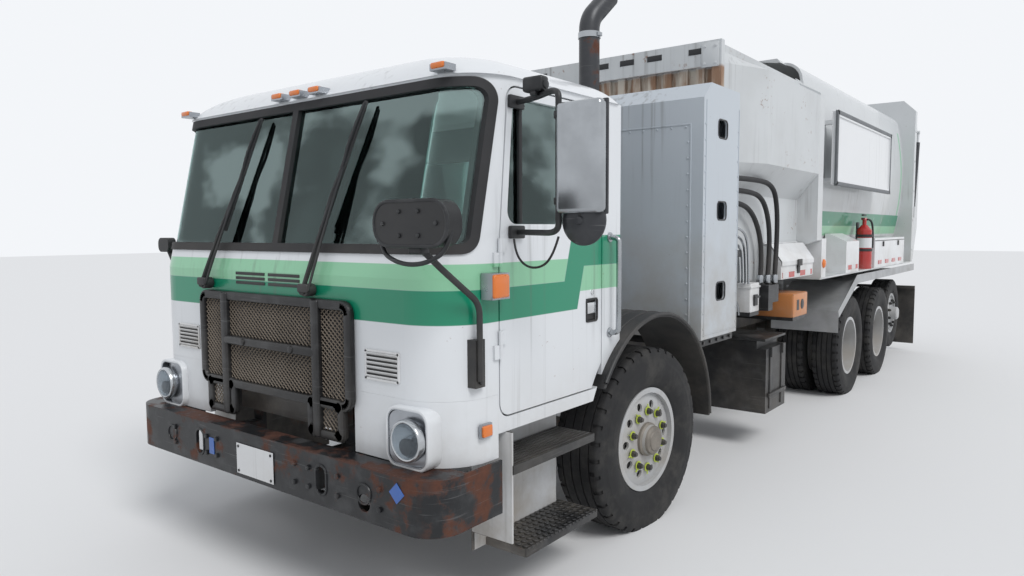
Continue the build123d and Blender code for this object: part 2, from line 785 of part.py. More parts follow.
# Inside the cab: two seats on pedestals, and the dashboard with the steering wheel on the left
with BuildPart() as cab_interior:
    for side in (-1, 1):
        x = side * seat_x
        block(x - 150, x + 150, -960, -800, cab_floor_z, seat_floor + 120)
        block(x - 230, x + 230, -960, -520, seat_floor + 120, seat_floor + 240)
        side_profile(((-600, seat_floor + 240), (-520, seat_floor + 240), (-455, seat_floor + 860),
                      (-535, seat_floor + 860)), x - 220, x + 220)
    side_profile(((-1560, 1200), (-1370, 1200), (-1330, 1420), (-1400, 1600), (-1600, 1600)), -dash_half, dash_half)
    x = tunnel_half + 1
    block(-x, x, -1700, -1300, 1100, tunnel_high, Mode.SUBTRACT)
    bar((seat_x, -1380, 1400), (seat_x, -1180, 1640), 28)
    with BuildSketch(Plane(origin=(seat_x, along(-1180), 1640), z_dir=(0, 200, 240))):
        Circle(225)
        Circle(198, mode=Mode.SUBTRACT)
        Rectangle(410, 40)
        Rectangle(40, 410)
    extrude(amount=26)
write(cab_interior, "cab_interior")

# The engine and gearbox as one block, with the radiator ahead of it
with BuildPart() as engine:
    block(-330, 330, -1100, 150, 620, 1440)
    block(-230, 230, 150, 820, 600, 1000)
    block(-420, 420, -1660, -1600, 800, 1410)
    block(-330, 330, -1600, -1400, rail_top + 5, 1340)
    foot = rail_half - rail_wall - seat
    for y in (-850, -60):
        block(-foot, foot, y - 50, y + 50, 850, 930)
write(engine, "engine")

# Leaf springs and beams: the front axle's I-beam, two drive housings and the lifted tag axle's beam
with BuildPart() as axles:
    spring_in = rail_half - 80
    spring_out = rail_half - 5
    block(-kingpin_x + 60, kingpin_x - 60, -45, 45, front_axle_z - 70, front_axle_z + 20)
    for side in (-1, 1):
        spring = sorted((side * spring_in, side * spring_out))
        block(*sorted((side * (kingpin_x - 80), side * (kingpin_x - 40))), -40, 40, front_axle_z - kingpin_arm_z,
              front_axle_z + kingpin_arm_z)
        for low in (-kingpin_arm_z, kingpin_arm_z - kingpin_arm_thick):
            block(*sorted((side * (kingpin_x - 80), side * (kingpin_x + 28))), -30, 30, front_axle_z + low,
                  front_axle_z + low + kingpin_arm_thick)
        block(*spring, -60, 60, front_axle_z + 20, front_axle_z + 60)
        leaf = front_axle_z + 60
        side_profile(((-760, 700), (0, leaf), (760, 700), (760, 730), (0, leaf + 70), (-760, 730)), *spring)
        for y in (-740, 740):
            block(*spring, y - 25, y + 25, 715, rail_top - rail_depth - gap)
        block(*spring, drive_axles_y[0] - 60, drive_axles_y[1] + 60, drive_axle_z + 50, drive_axle_z + 120)
        middle = sum(drive_axles_y) / 2
        block(*spring, middle - 120, middle + 120, drive_axle_z + 120, rail_top - rail_depth - gap)
        block(*spring, tag_axle_y - 520, tag_axle_y + 50, tag_axle_z - 10, tag_axle_z + 70)
        block(*spring, tag_axle_y - 520, tag_axle_y - 420, tag_axle_z + 70, rail_top - rail_depth - gap)
    for y in drive_axles_y:
        block(-drive_beam_half, drive_beam_half, y - 60, y + 60, drive_axle_z - 60, drive_axle_z + 60)
        bar((-120, y, drive_axle_z), (120, y, drive_axle_z), 200)
    bar((-tag_beam_half, tag_axle_y, tag_axle_z), (tag_beam_half, tag_axle_y, tag_axle_z), 55)
write(axles, "axles")


def axle_plane(x, y, z, side, angle):
    """A plane through a wheel's axle line: its x runs out from the truck and its y runs up."""
    out = (side * cos(radians(angle)), side * sin(radians(angle)), 0)
    return Plane(origin=(x, along(y), z), x_dir=out, z_dir=(out[1], -out[0], 0))


def ring(plane, points):
    """A ring turned about the wheel's axle line from an outline of (out, radius) points."""
    with BuildSketch(plane) as face:
        with BuildLine():
            Polyline(*points, close=True)
        make_face()
    revolve(face.sketch, axis=Axis(plane.origin, plane.x_dir))


def tyre_ring(plane, middle, width, radius, rim_radius):
    """One tyre: a flat tread with round shoulders and bulged walls down to the rim."""
    half = width / 2
    with BuildSketch(plane) as face:
        with BuildLine():
            Polyline((middle - half * 0.72, rim_radius), (middle - half * 0.72, rim_radius + 17),
                     (middle - half, rim_radius + (radius - rim_radius) * 0.5),
                     (middle - half * 0.93, radius - 28), (middle - half * 0.78, radius),
                     (middle + half * 0.78, radius), (middle + half * 0.93, radius - 28),
                     (middle + half, rim_radius + (radius - rim_radius) * 0.5),
                     (middle + half * 0.72, rim_radius + 17), (middle + half * 0.72, rim_radius), close=True)
        make_face()
    revolve(face.sketch, axis=Axis(plane.origin, plane.x_dir))


def rim_ring(plane, middle, width, rim_radius, face, face_wall, edge):
    """One rim: its barrel and flanges, and a disc from the barrel at edge to a flat mounting face."""
    half = width * 0.36
    r = rim_radius
    ring(plane, ((middle - half - 14, r + 14), (middle - half - 14, r - 16), (middle + half + 14, r - 16),
                 (middle + half + 14, r + 14), (middle + half + 1, r + 14), (middle + half + 1, r - gap),
                 (middle - half - 1, r - gap), (middle - half - 1, r + 14)))
    back = face + face_wall
    ring(plane, ((face, 0), (face, 160), (edge, r - 15), (edge + face_wall, r - 15), (back, 160), (back, 0)))


def hand_holes(plane, face, radius, hole, count):
    """Round holes through a disc, on a circle about the axle line."""
    out = Plane(origin=plane.origin + plane.x_dir * (face - 90), z_dir=plane.x_dir)
    with BuildSketch(out) as ring_of_holes:
        with PolarLocations(radius, count):
            Circle(hole)
    extrude(ring_of_holes.sketch, amount=120, mode=Mode.SUBTRACT)


def hub_ring(plane, face, hub_out, spindle_end, bore, drum_in, drum_radius):
    """A wheel's hub standing out of its disc, and the brake drum round the axle's end behind it."""
    ring(plane, ((face, 0), (face, 92), (hub_out - 12, 84), (hub_out, 70), (hub_out, 0)))
    ring(plane, ((spindle_end, 0), (spindle_end, bore), (drum_in, bore), (drum_in, drum_radius),
                 (face - 40, drum_radius), (face - 40, bore + 10), (face, bore + 10), (face, 0)))


def single_wheel(name, x, y, z, side, angle, tyre, face, hub):
    """The tyre and the rim of a wheel that runs alone."""
    plane = axle_plane(x, y, z, side, angle)
    with BuildPart() as rubber:
        tyre_ring(plane, 0.0, tyre["width"], tyre["radius"], tyre["rim"])
    write(rubber, f"{name}_tyre")
    with BuildPart() as rim:
        rim_ring(plane, 0.0, tyre["width"], tyre["rim"], face, -14.0, face - 20)
        hand_holes(plane, face, 205.0, 24.0, 10)
        hub_ring(plane, face, *hub)
    write(rim, f"{name}_rim")


def twin_wheel(name, y, side):
    """The two tyres and the two rims of a drive wheel pair, on one hub."""
    plane = axle_plane(side * twin_middle, y, drive_axle_z, side, 0.0)
    half = twin_spacing / 2
    with BuildPart() as rubber:
        for middle in (-half, half):
            tyre_ring(plane, middle, drive_tyre["width"], drive_tyre["radius"], drive_tyre["rim"])
    write(rubber, f"{name}_tyres")
    with BuildPart() as rims:
        rim_ring(plane, -half, drive_tyre["width"], drive_tyre["rim"], 0.0, -14.0, -62.0)
        rim_ring(plane, half, drive_tyre["width"], drive_tyre["rim"], 0.0, 14.0, 62.0)
        hub_ring(plane, 14.0, *drive_hub)
    write(rims, f"{name}_rims")


for side, name in ((1, "left"), (-1, "right")):
    lean = sin(radians(steer_rest)) * (front_track_half - kingpin_x) * side
    single_wheel(f"front_{name}", side * front_track_half, lean, front_axle_z, side, steer_rest, front_tyre,
                 front_face, front_hub)
    with BuildPart() as knuckle:
        plane = axle_plane(side * kingpin_x, 0.0, front_axle_z, side, steer_rest)
        ring(plane, ((10, 0), (10, 70), (60, 60), (spindle_length, 60), (spindle_length, 0)))
        high = kingpin_arm_z - kingpin_arm_thick - 1
        bar((side * kingpin_x, 0, front_axle_z - high), (side * kingpin_x, 0, front_axle_z + high), 26)
    write(knuckle, f"knuckle_{name}")
    for row, y in zip(("front", "rear"), drive_axles_y):
        twin_wheel(f"drive_{row}_{name}", y, side)
    single_wheel(f"tag_{name}", side * tag_middle, tag_axle_y, tag_axle_z, side, 0.0, tag_tyre, tag_face, tag_hub)

# Black arched fenders over the front wheels, and the mud flaps on their bar behind the tag wheels
with BuildPart() as black_fenders:
    for side in (-1, 1):
        x0, x1 = sorted((side * fender_inner, side * fender_outer))
        with BuildSketch(Plane.YZ.offset(x0)):
            with Locations((along(0), front_axle_z)):
                Circle(fender_radius + fender_thick)
                Circle(fender_radius, mode=Mode.SUBTRACT)
            with Locations((along(0), front_axle_z - 500)):
                Rectangle(2000, 1000, mode=Mode.SUBTRACT)
            with Locations((along(-1100), front_axle_z + 60)):
                Rectangle(1000, 700, mode=Mode.SUBTRACT)
        extrude(amount=x1 - x0)
    for side in (-1, 1):
        block(*sorted((side * 620, side * 1225)), flap_y, flap_y + 12, 110, 930)
        block(*sorted((side * (rail_half + gap), side * 1225)), flap_y - 50, flap_y, 890, 930)
write(black_fenders, "black_fenders")

# Step wells with two treads each
with BuildPart() as steps:
    for side in (-1, 1):
        x0, x1 = sorted((side * step_inner, side * step_outer))
        w0, w1 = sorted((side * step_inner, side * (step_inner + well_wall)))
        block(w0, w1, step_front, step_rear, step_low_z - step_thick, cab_low - gap)
        block(x0, x1, step_front, step_front + well_wall, step_low_z - step_thick + 90, cab_low - gap)
        block(x0, x1, step_front, step_rear, step_high_z, step_high_z + step_thick)
        block(x0, x1, step_front + 90, step_rear + 30, step_low_z - step_thick, step_low_z)
write(steps, "steps")

# The exhaust stack on the left and the air cleaner on the right, behind the cab
with BuildPart() as stacks:
    bar((stack_x, stack_y, 1040), (stack_x, stack_y, 1700), stack_radius + 45)
    tube(((stack_x, stack_y, 1690), (stack_x, stack_y, stack_top), (stack_x + 40, stack_y + 170, stack_top + 170)),
         150, stack_radius)
    bar((cleaner_x, stack_y, 1300), (cleaner_x, stack_y, 2300), cleaner_radius)
    bar((cleaner_x, stack_y, 2300), (cleaner_x, stack_y, 2360), cleaner_radius + 35)
    for z in (1450, 2150):
        block(cleaner_x - 30, cleaner_x + 30, stack_y + 90, tank_front - gap, z - 20, z + 20)
    block(rail_half - 60, rail_half + 220, stack_y - 60, stack_y + 60, rail_top + gap, 1050)
write(stacks, "stacks")

# The gas tank enclosure: a hollow box with a chamfered front edge and three round-cornered holes a side,
# and the gas cylinders stacked across it
with BuildPart() as cng_enclosure:
    outer = ((tank_front, tank_low), (tank_rear, tank_low), (tank_rear, tank_high),
             (tank_front + tank_chamfer_y, tank_high), (tank_front, tank_high - tank_chamfer_z))
    side_profile(outer, -tank_half, tank_half)
    w = tank_wall
    inner = ((tank_front + w, tank_low + w), (tank_rear - w, tank_low + w), (tank_rear - w, tank_high - w),
             (tank_front + tank_chamfer_y + w / 2, tank_high - w), (tank_front + w, tank_high - tank_chamfer_z - w / 2))
    side_profile(inner, -tank_half + w, tank_half - w, Mode.SUBTRACT)
    with BuildSketch(Plane.YZ.offset(-tank_half - 1)):
        for z in tank_holes_z:
            with Locations((along(tank_hole_y), z)):
                RectangleRounded(tank_hole_width, tank_hole_height, 30)
    extrude(amount=2 * tank_half + 2, mode=Mode.SUBTRACT)
    for z in tanks_z:
        bar((-tank_length / 2, tank_middle_y, z), (tank_length / 2, tank_middle_y, z), tank_radius)
write(cng_enclosure, "cng_enclosure")

# Boxes hung on the frame: the battery box, the chock box on its shelf, a latched box and a valve block
with BuildPart() as chassis_boxes:
    block(rail_half + seat, 1195, 1860, 2330, 290, 800)
    side_profile(((1860, 800), (2330, 800), (2330, 860), (1860, 860)), rail_half + seat, 1120)
    block(860, 1195, 2500, 2890, 985, 1185)
    block(rail_half + seat, 1195, 2500, 2890, 960, 985)
    block(rail_half + seat, 1150, 1610, 1800, 1080, 1110)
    block(rail_half + seat, rail_half + 20, 1610, 1800, 900, 1080)
    block(900, 1150, 1610, 1800, 1110, 1328)
    block(guide_left + seat, 1190, 1900, 2000, 1100, 1160)
    block(1060, 1190, 1900, 2135, 1160, hose_foot)
write(chassis_boxes, "chassis_boxes")

# Spot mirrors on bent tube arms at the front corners: a long one on the left and a small one on the right
with BuildPart() as spot_mirrors:
    for side, route, bends in ((1, spot_left, (90, 60)), (-1, spot_right, 40)):
        block(*sorted((side * (cab_half - 60), side * (cab_half + 20))), -1600, -1540, 1090, 1290)
        extrude(cab_plan(1080, cab_front, -seat), amount=220, mode=Mode.SUBTRACT)
        tube(route, bends, spot_tube_radius)
    for at, size, corner, half in ((spot_left_head, (390, 175), 80, 40), (spot_right_head, (120, 85), 35, 25)):
        origin = (at[0], along(at[1]), at[2])
        with BuildSketch(Plane(origin=origin, x_dir=(1, 0, 0), z_dir=(0, -1, 0))):
            RectangleRounded(*size, corner)
        extrude(amount=half, both=True)
write(spot_mirrors, "spot_mirrors")

# Aluminium fenders over the drive and tag wheels, with a slanted front panel
with BuildPart() as rear_fenders:
    for side in (-1, 1):
        x0, x1 = sorted((side * fender_rear_inner, side * 1220))
        t = fender_sheet
        side_profile(((3850, 710), (3850, 930), (4570, 1180), (7760, 1180), (7760, 1180 - t), (4572, 1180 - t),
                      (3850 + t, 928), (3850 + t, 710)), x0, x1)
        for y in fender_arms_y:
            block(*sorted((side * (rail_half + seat), side * (fender_rear_inner + 60))), y - 25, y + 25, 1110,
                  1180 - fender_sheet)
            block(*sorted((side * (rail_half + seat), side * (rail_half + 40))), y - 25, y + 25, 900, 1110)
        lip0, lip1 = sorted((side * 1214, side * 1220))
        side_profile(((3850, 930), (4570, 1250), (7760, 1250), (7760, 1160), (4600, 1160), (3880, 860)), lip0, lip1)
write(rear_fenders, "rear_fenders")

def flare(inset, mode):
    """The widened left side of the hopper, or its inside, drawn out to the front of the hopper."""
    foot = hopper_half - 100
    rows = ((hopper_front + inset, hopper_half - inset + 1), (flare_front + inset, flare_x - inset),
            (hopper_rear, flare_x - inset))
    faces = []
    for y, outer in rows:
        with BuildSketch(Plane.XZ.offset(-along(y))) as face:
            with BuildLine():
                Polyline((foot, flare_foot + inset), (hopper_half - inset, flare_foot + inset),
                         (outer, flare_low + inset), (outer, flare_high - inset / 2),
                         (hopper_half - inset, flare_shoulder - inset), (foot, flare_shoulder - inset), close=True)
            make_face()
        faces.append(face.sketch.face())
    loft(sections=faces[:2], mode=mode)
    loft(sections=faces[1:], mode=mode)


# The hopper: a box open on top, behind and on the right above its sill, with the flare on the left
with BuildPart() as hopper:
    block(-hopper_half, hopper_half, hopper_front, hopper_rear, hopper_low, hopper_high)
    flare(0.0, Mode.ADD)
    w = hopper_wall
    block(-hopper_half + w, hopper_half - w, hopper_front + w, hopper_rear + 1, hopper_low + w, hopper_high + 1,
          Mode.SUBTRACT)
    flare(w, Mode.SUBTRACT)
    block(-hopper_half - 1, -hopper_half + w + 1, mouth_front, mouth_rear, sill_z, mouth_high, Mode.SUBTRACT)
    block(-beam_half, beam_half, hopper_front - beam_depth, hopper_front, hopper_high - beam_height, hopper_high + beam_rise)
    for k in range(ribs):
        x = (k - (ribs - 1) / 2) * rib_pitch
        block(x - rib_width / 2, x + rib_width / 2, hopper_front - rib_depth, hopper_front, rib_low,
              hopper_high - beam_height)
    for side in (-1, 1):
        block(*sorted((side * (beam_half - 70), side * beam_half)), hopper_front - beam_depth, hopper_front,
              hopper_low, hopper_high - beam_height)
write(hopper, "hopper")


def barrel(inset):
    """The body's section: flat floor, bowed sides, round shoulders and a crowned roof."""
    with BuildSketch(Plane.XZ.offset(-along(rib_rear))) as section:
        with BuildLine():
            for side in (-1, 1):
                Line((0, body_low), (side * barrel_foot[0], body_low))
                Line((side * barrel_foot[0], body_low), (side * barrel_foot[0], barrel_foot[1]))
                ThreePointArc((side * barrel_foot[0], barrel_foot[1]), (side * barrel_side[0], barrel_side[1]),
                              (side * barrel_top[0], barrel_top[1]))
                ThreePointArc((side * barrel_top[0], barrel_top[1]),
                              (side * barrel_shoulder[0], barrel_shoulder[1]),
                              (side * barrel_edge[0], barrel_edge[1]))
            ThreePointArc((-barrel_edge[0], barrel_edge[1]), (0, barrel_crown), barrel_edge)
        make_face()
        if inset:
            offset(amount=-inset, mode=Mode.REPLACE)
    return section.sketch


# The body: its barrel, the flat frames at both ends, the floor's sub-frame and the shelves for the boxes
with BuildPart() as body_shell:
    extrude(barrel(0.0), amount=-(body_rear - rib_rear))
    with BuildSketch(Plane.XZ.offset(-along(hopper_rear + gap))):
        with BuildLine():
            Polyline((-hopper_half, body_low), (hopper_half, body_low), (hopper_half, rib_low_z - 70),
                     (flare_x, rib_low_z), (flare_x, flare_high + 20), (hopper_half, flare_shoulder + 40),
                     (barrel_edge[0], barrel_edge[1] + 15), (-barrel_edge[0], barrel_edge[1] + 15),
                     (-hopper_half, flare_shoulder + 40), (-flare_x, flare_high + 20), (-flare_x, rib_low_z),
                     (-hopper_half, rib_low_z - 70), close=True)
        make_face()
    extrude(amount=-(rib_rear - hopper_rear - gap))
    with BuildSketch(Plane.XZ.offset(-along(body_rear))):
        with BuildLine():
            Polyline((-flare_x, frame_low), (flare_x, frame_low), (flare_x, frame_high - frame_chamfer),
                     (flare_x - frame_chamfer, frame_high), (-flare_x + frame_chamfer, frame_high),
                     (-flare_x, frame_high - frame_chamfer), close=True)
        make_face()
    extrude(amount=-(frame_rear - body_rear))
    inside = barrel(body_wall)
    extrude(inside, amount=-(frame_rear - rib_rear + 5), mode=Mode.SUBTRACT)
    extrude(inside, amount=rib_rear - hopper_rear + 5, mode=Mode.SUBTRACT)
    for side in (-1, 1):
        rail = sorted((side * (subframe_half - subframe_width), side * subframe_half))
        side_profile(((subframe_front, subframe_low), (dump_hinge[0], subframe_low),
                      (dump_hinge[0] + 60, subframe_low + 60), (dump_hinge[0] + 60, frame_low - 20),
                      (frame_rear, frame_low - 5), (frame_rear, body_low), (subframe_front, body_low)),
                     *rail)
        x = side * (subframe_half - subframe_width / 2)
        bar((x - subframe_width, dump_hinge[0], dump_hinge[1]), (x + subframe_width, dump_hinge[0], dump_hinge[1]),
            dump_pin_radius + pin_clearance, Mode.SUBTRACT)
        block(*sorted((side * barrel_foot[0], side * 1214)), rib_rear, body_rear, shelf_z - 15, shelf_z)
        block(*sorted((side * (barrel_foot[0] - 40), side * barrel_foot[0])), rib_rear, body_rear, shelf_z - 15, body_low)
        ear = sorted((side * hoist_ear_x, side * (hoist_ear_x + 20)))
        y, z = hoist_eye
        block(*ear, y - 60, y + 60, z - 50, body_low)
        y, z = gate_base
        plate = sorted((side * gate_plate_x, side * (gate_plate_x + 12)))
        side_profile(((frame_rear - 20, z - 60), (frame_rear, z - 60), (y + 30, z - 30), (y + 30, z + 30),
                      (frame_rear - 20, z + 90)), *plate)
        bar((side * (gate_cylinder_x - 20), y, z), (side * gate_plate_x, y, z), gate_pin_radius)
        y, z = tailgate_hinge
        for lug_step in (-lug_out, lug_out):
            x = side * lug_x + lug_step
            block(x - lug_thick / 2, x + lug_thick / 2, frame_rear, y + 34, z - 34, z + 34)
        bar((side * lug_x - lug_out, y, z), (side * lug_x + lug_out, y, z), lug_pin_radius)
write(body_shell, "body_shell")

# The framed sign board standing off the body's left side, blank
with BuildPart() as sign:
    block(sign_back, sign_face, sign_front, sign_rear, sign_low, sign_high)
    b = sign_border
    block(sign_face - 12, sign_face + 1, sign_front + b, sign_rear - b, sign_low + b, sign_high - b, Mode.SUBTRACT)
    for y in (sign_front + 300, sign_rear - 300):
        for z in (sign_low + 60, sign_high - 60):
            block(barrel_side[0] - 40, sign_back, y - 30, y + 30, z - 20, z + 20)
    extrude(barrel(-seat), amount=-(body_rear - rib_rear), mode=Mode.SUBTRACT)
write(sign, "sign")



def outline_box(outline, y0, y1, mode=Mode.ADD):
    """A box along Y from an outline of (X, Z) points."""
    with BuildSketch(Plane.XZ.offset(-along(y0))) as face:
        with BuildLine():
            Polyline(*outline, close=True)
        make_face()
    extrude(face.sketch, amount=-(y1 - y0), mode=mode)


# White boxes along the body's left and right sides, with the toolbox open under its lid
with BuildPart() as side_boxes:
    y0, y1 = toolbox_y
    inner = hopper_half + gap
    outline_box(((inner, 1330), (1196, 1330), (1196, 1470), (1100, 1606), (inner, 1606)), y0, y1)
    outline_box(((inner + 5, 1335), (1191, 1335), (1191, 1700), (inner + 5, 1700)), y0 + 5, y1 - 5, Mode.SUBTRACT)
    for y in lid_lugs_y:
        block(inner, lid_hinge[0], y - 30, y + 30, 1590, lid_hinge[1] - lid_bar_radius - seat)
    low = shelf_z + seat
    block(box_inner_x, 1221, 3205, 3350, low, 1650)
    outline_box(((box_inner_x, low), (1221, low), (1221, 1610), (1050, 1690), (box_inner_x, 1690)), 4080, 4600)
    block(box_inner_x, 1221, 5330, 7000, low, 1630)
    block(-1221, -box_inner_x, 3600, 7000, low, 1630)
write(side_boxes, "side_boxes")

# The toolbox's sloped lid, hinged along its inner edge
with BuildPart() as toolbox_lid:
    x, z = lid_hinge
    outline_box(((x - 4, 1613), (1103.5, 1613), (1201.7, 1474), (1201.7, 1440), (1205.7, 1440), (1205.7, 1475.5),
                 (1105.8, 1617), (x - 4, 1617)), *toolbox_y)
    for y in lid_lugs_y:
        block(x - 5, x + 9, y - 36, y + 36, 1612, 1618, Mode.SUBTRACT)
    bar((x, toolbox_y[0], z), (x, toolbox_y[1], z), lid_bar_radius)
    block(1196.5, 1212, 2560, 2640, 1440, 1474, Mode.SUBTRACT)
    block(1201.7, 1213, 2550, 2650, 1442, 1470)
write(toolbox_lid, "toolbox_lid")

# The fire extinguisher standing in its holder on the shelf
with BuildPart() as extinguisher:
    x, y = extinguisher_at
    low = shelf_z + gap
    bar((x, y, low), (x, y, low + 200), extinguisher_radius + 6)
    bar((x, y, low + 200), (x, y, low + 430), extinguisher_radius)
    with BuildSketch(Plane.XY.offset(low + 430)) as shoulder:
        with Locations((x, along(y))):
            Circle(extinguisher_radius)
    extrude(shoulder.sketch, amount=60, taper=40)
    bar((x, y, low + 480), (x, y, low + 560), 22)
    block(x - 20, x + 20, y - 70, y + 30, low + 545, low + 570)
write(extinguisher, "extinguisher")

def bend_radii(points):
    """The radius of each bend of a route, from its shorter run and how far it turns."""
    runs = [Vector(*b) - Vector(*a) for a, b in zip(points, points[1:])]
    radii = []
    for before, after in zip(runs, runs[1:]):
        half_turn = radians(before.get_angle(after)) / 2
        radii.append(bend_share * min(before.length, after.length) / tan(half_turn))
    return radii


# Three hoses from the enclosure's rear wall, bent down to the valve block
with BuildPart() as hose_run:
    for x, places in hoses:
        route = [(x, y, z) for y, z in places]
        tube(route, bend_radii(route), hose_radius)
        y, z = places[0]
        bar((x, y, z), (x, y + 50, z), hose_radius + 7)
write(hose_run, "hoses")

# The tailgate: a hollow tailored shell open to the body, with its hinge knuckles
with BuildPart() as tailgate:
    outer = ((tailgate_front, tailgate_low), (tailgate_front, tailgate_high), (7950, tailgate_high),
             (tailgate_rear, 2700), (tailgate_rear, 1750), (8050, tailgate_low))
    side_profile(outer, -tailgate_half, tailgate_half)
    w = tailgate_wall
    inner = ((tailgate_front - 5, tailgate_low + w), (tailgate_front - 5, tailgate_high - w), (7940, tailgate_high - w),
             (tailgate_rear - w, 2692), (tailgate_rear - w, 1758), (8036, tailgate_low + w))
    side_profile(inner, -tailgate_half + w, tailgate_half - w, Mode.SUBTRACT)
    y, z = tailgate_hinge
    for side in (-1, 1):
        x = side * lug_x
        knuckle = sorted((x - lug_out + lug_thick / 2 + clearance, x + lug_out - lug_thick / 2 - clearance))
        block(*knuckle, y - 26, y + 30, tailgate_high, z)
        bar((knuckle[0], y, z), (knuckle[1], y, z), 34)
        bar((knuckle[0] - 1, y, z), (knuckle[1] + 1, y, z), lug_pin_radius + pin_clearance, Mode.SUBTRACT)
        y1, z1 = gate_eye
        boss = sorted((side * tailgate_half, side * (tailgate_half + 10)))
        bar((boss[0], y1, z1), (boss[1], y1, z1), 60)
        post = sorted((side * 700, side * 780))
        side_profile(((tailgate_rear, 1760), (tailgate_rear + 45, 1800), (tailgate_rear + 45, 2650),
                      (tailgate_rear, 2690)), *post)
    for height in (1950.0, 2500.0):
        block(-tailgate_half + 60, tailgate_half - 60, tailgate_rear, tailgate_rear + 40, height - 40, height + 40)
write(tailgate, "tailgate")

# The packer blade standing across the front of the hopper
with BuildPart() as packer:
    y = packer_front
    side_profile(((y, packer_low), (y + 260, packer_low), (y + 260, 1700), (y + 120, 1900), (y, 1900)), -packer_half,
                 packer_half)
write(packer, "packer")


def on_line(base, eye, distance):
    """The (Y, Z) point at a distance from base towards eye."""
    length = ((eye[0] - base[0]) ** 2 + (eye[1] - base[1]) ** 2) ** 0.5
    share = distance / length
    return base[0] + (eye[0] - base[0]) * share, base[1] + (eye[1] - base[1]) * share


def barrel_body(x, base, eye, span, radius, bore, pin, half):
    """A cylinder's barrel with its base eye bored for a pin, and its own bore for the rod."""
    start = (x, *on_line(base, eye, pin + 6))
    mouth = (x, *on_line(base, eye, span[1]))
    bar(start, mouth, radius)
    bar((x - half, *base), (x + half, *base), pin * 1.9)
    bar((x - half - 1, *base), (x + half + 1, *base), pin + pin_clearance, Mode.SUBTRACT)
    bar((x, *on_line(base, eye, span[0] + cylinder_end_wall)), (x, *on_line(base, eye, span[1] + 5)), bore,
        Mode.SUBTRACT)


def rod_body(x, base, eye, start, radius, eye_radius, half):
    """A cylinder's rod with a round eye, which ends beside its bracket."""
    bar((x, *on_line(base, eye, start)), (x, *eye), radius)
    bar((x - half, *eye), (x + half, *eye), eye_radius)


# The hoist cylinder under the body
with BuildPart() as hoist_barrel:
    barrel_body(0.0, hoist_base, hoist_eye, hoist_barrel_span, hoist_radius, hoist_rod_radius + rod_clearance,
                hoist_pin_radius, 70.0)
write(hoist_barrel, "hoist_barrel")
with BuildPart() as hoist_rod:
    rod_body(0.0, hoist_base, hoist_eye, hoist_rod_from, hoist_rod_radius, 50.0, 55.0)
write(hoist_rod, "hoist_rod")

# The tailgate's two cylinders, one down each side
with BuildPart() as tailgate_barrels:
    for side in (-1, 1):
        barrel_body(side * gate_cylinder_x, gate_base, gate_eye, gate_barrel_span, gate_radius,
                    gate_rod_radius + rod_clearance, gate_pin_radius, 16.0)
write(tailgate_barrels, "tailgate_barrels")
with BuildPart() as tailgate_rods:
    for side in (-1, 1):
        rod_body(side * gate_cylinder_x, gate_base, gate_eye, gate_rod_from, gate_rod_radius, 28.0, 16.0)
write(tailgate_rods, "tailgate_rods")

# The reach arm's carriage: two runners inside the guide tubes, joined by a plate with two ears
with BuildPart() as carriage:
    z = guide_low + guide_size / 2
    r = runner_size / 2
    for y in guides_y:
        block(carriage_plate_x, runner_end, y - r, y + r, z - r, z + r)
        p = guide_size / 2 - guide_wall - seat
        block(runner_end - 120, runner_end, y - p, y + p, z - p, z + p)
    block(carriage_plate_x - carriage_plate_thick, carriage_plate_x, guides_y[0] - 100, guides_y[1] + 100, 960, 1340)
    for ear_step in (-arm_ear_out, arm_ear_out):
        y = arm_y + ear_step
        block(arm_x - 40, carriage_plate_x - carriage_plate_thick, y - 10, y + 10, arm_z - 45, arm_z + 45)
    bar((arm_x, arm_y - arm_ear_out, arm_z), (arm_x, arm_y + arm_ear_out, arm_z), arm_pin_radius)
write(carriage, "carriage")

# The lift arm hanging from the carriage, with its saddle and the fingers' ears
with BuildPart() as lift_arm:
    block(arm_x - 28, arm_x + 28, arm_y - arm_half, arm_y + arm_half, arm_z - arm_length, arm_z)
    bar((arm_x, arm_y - arm_half, arm_z), (arm_x, arm_y + arm_half, arm_z), 45)
    bar((arm_x, arm_y - arm_half - 1, arm_z), (arm_x, arm_y + arm_half + 1, arm_z), arm_pin_radius + pin_clearance,
        Mode.SUBTRACT)
    block(saddle_x, arm_x - 28, finger_pivots_y[0] - 50, finger_pivots_y[1] + 50, finger_low - 20, finger_high + 20)
    for y in finger_pivots_y:
        for low in (finger_low - 20, finger_high + 8):
            block(finger_x - 32, saddle_x, y - 32, y + 32, low, low + 12)
        bar((finger_x, y, finger_low - 14), (finger_x, y, finger_high + 14), finger_pin_radius)
write(lift_arm, "lift_arm")


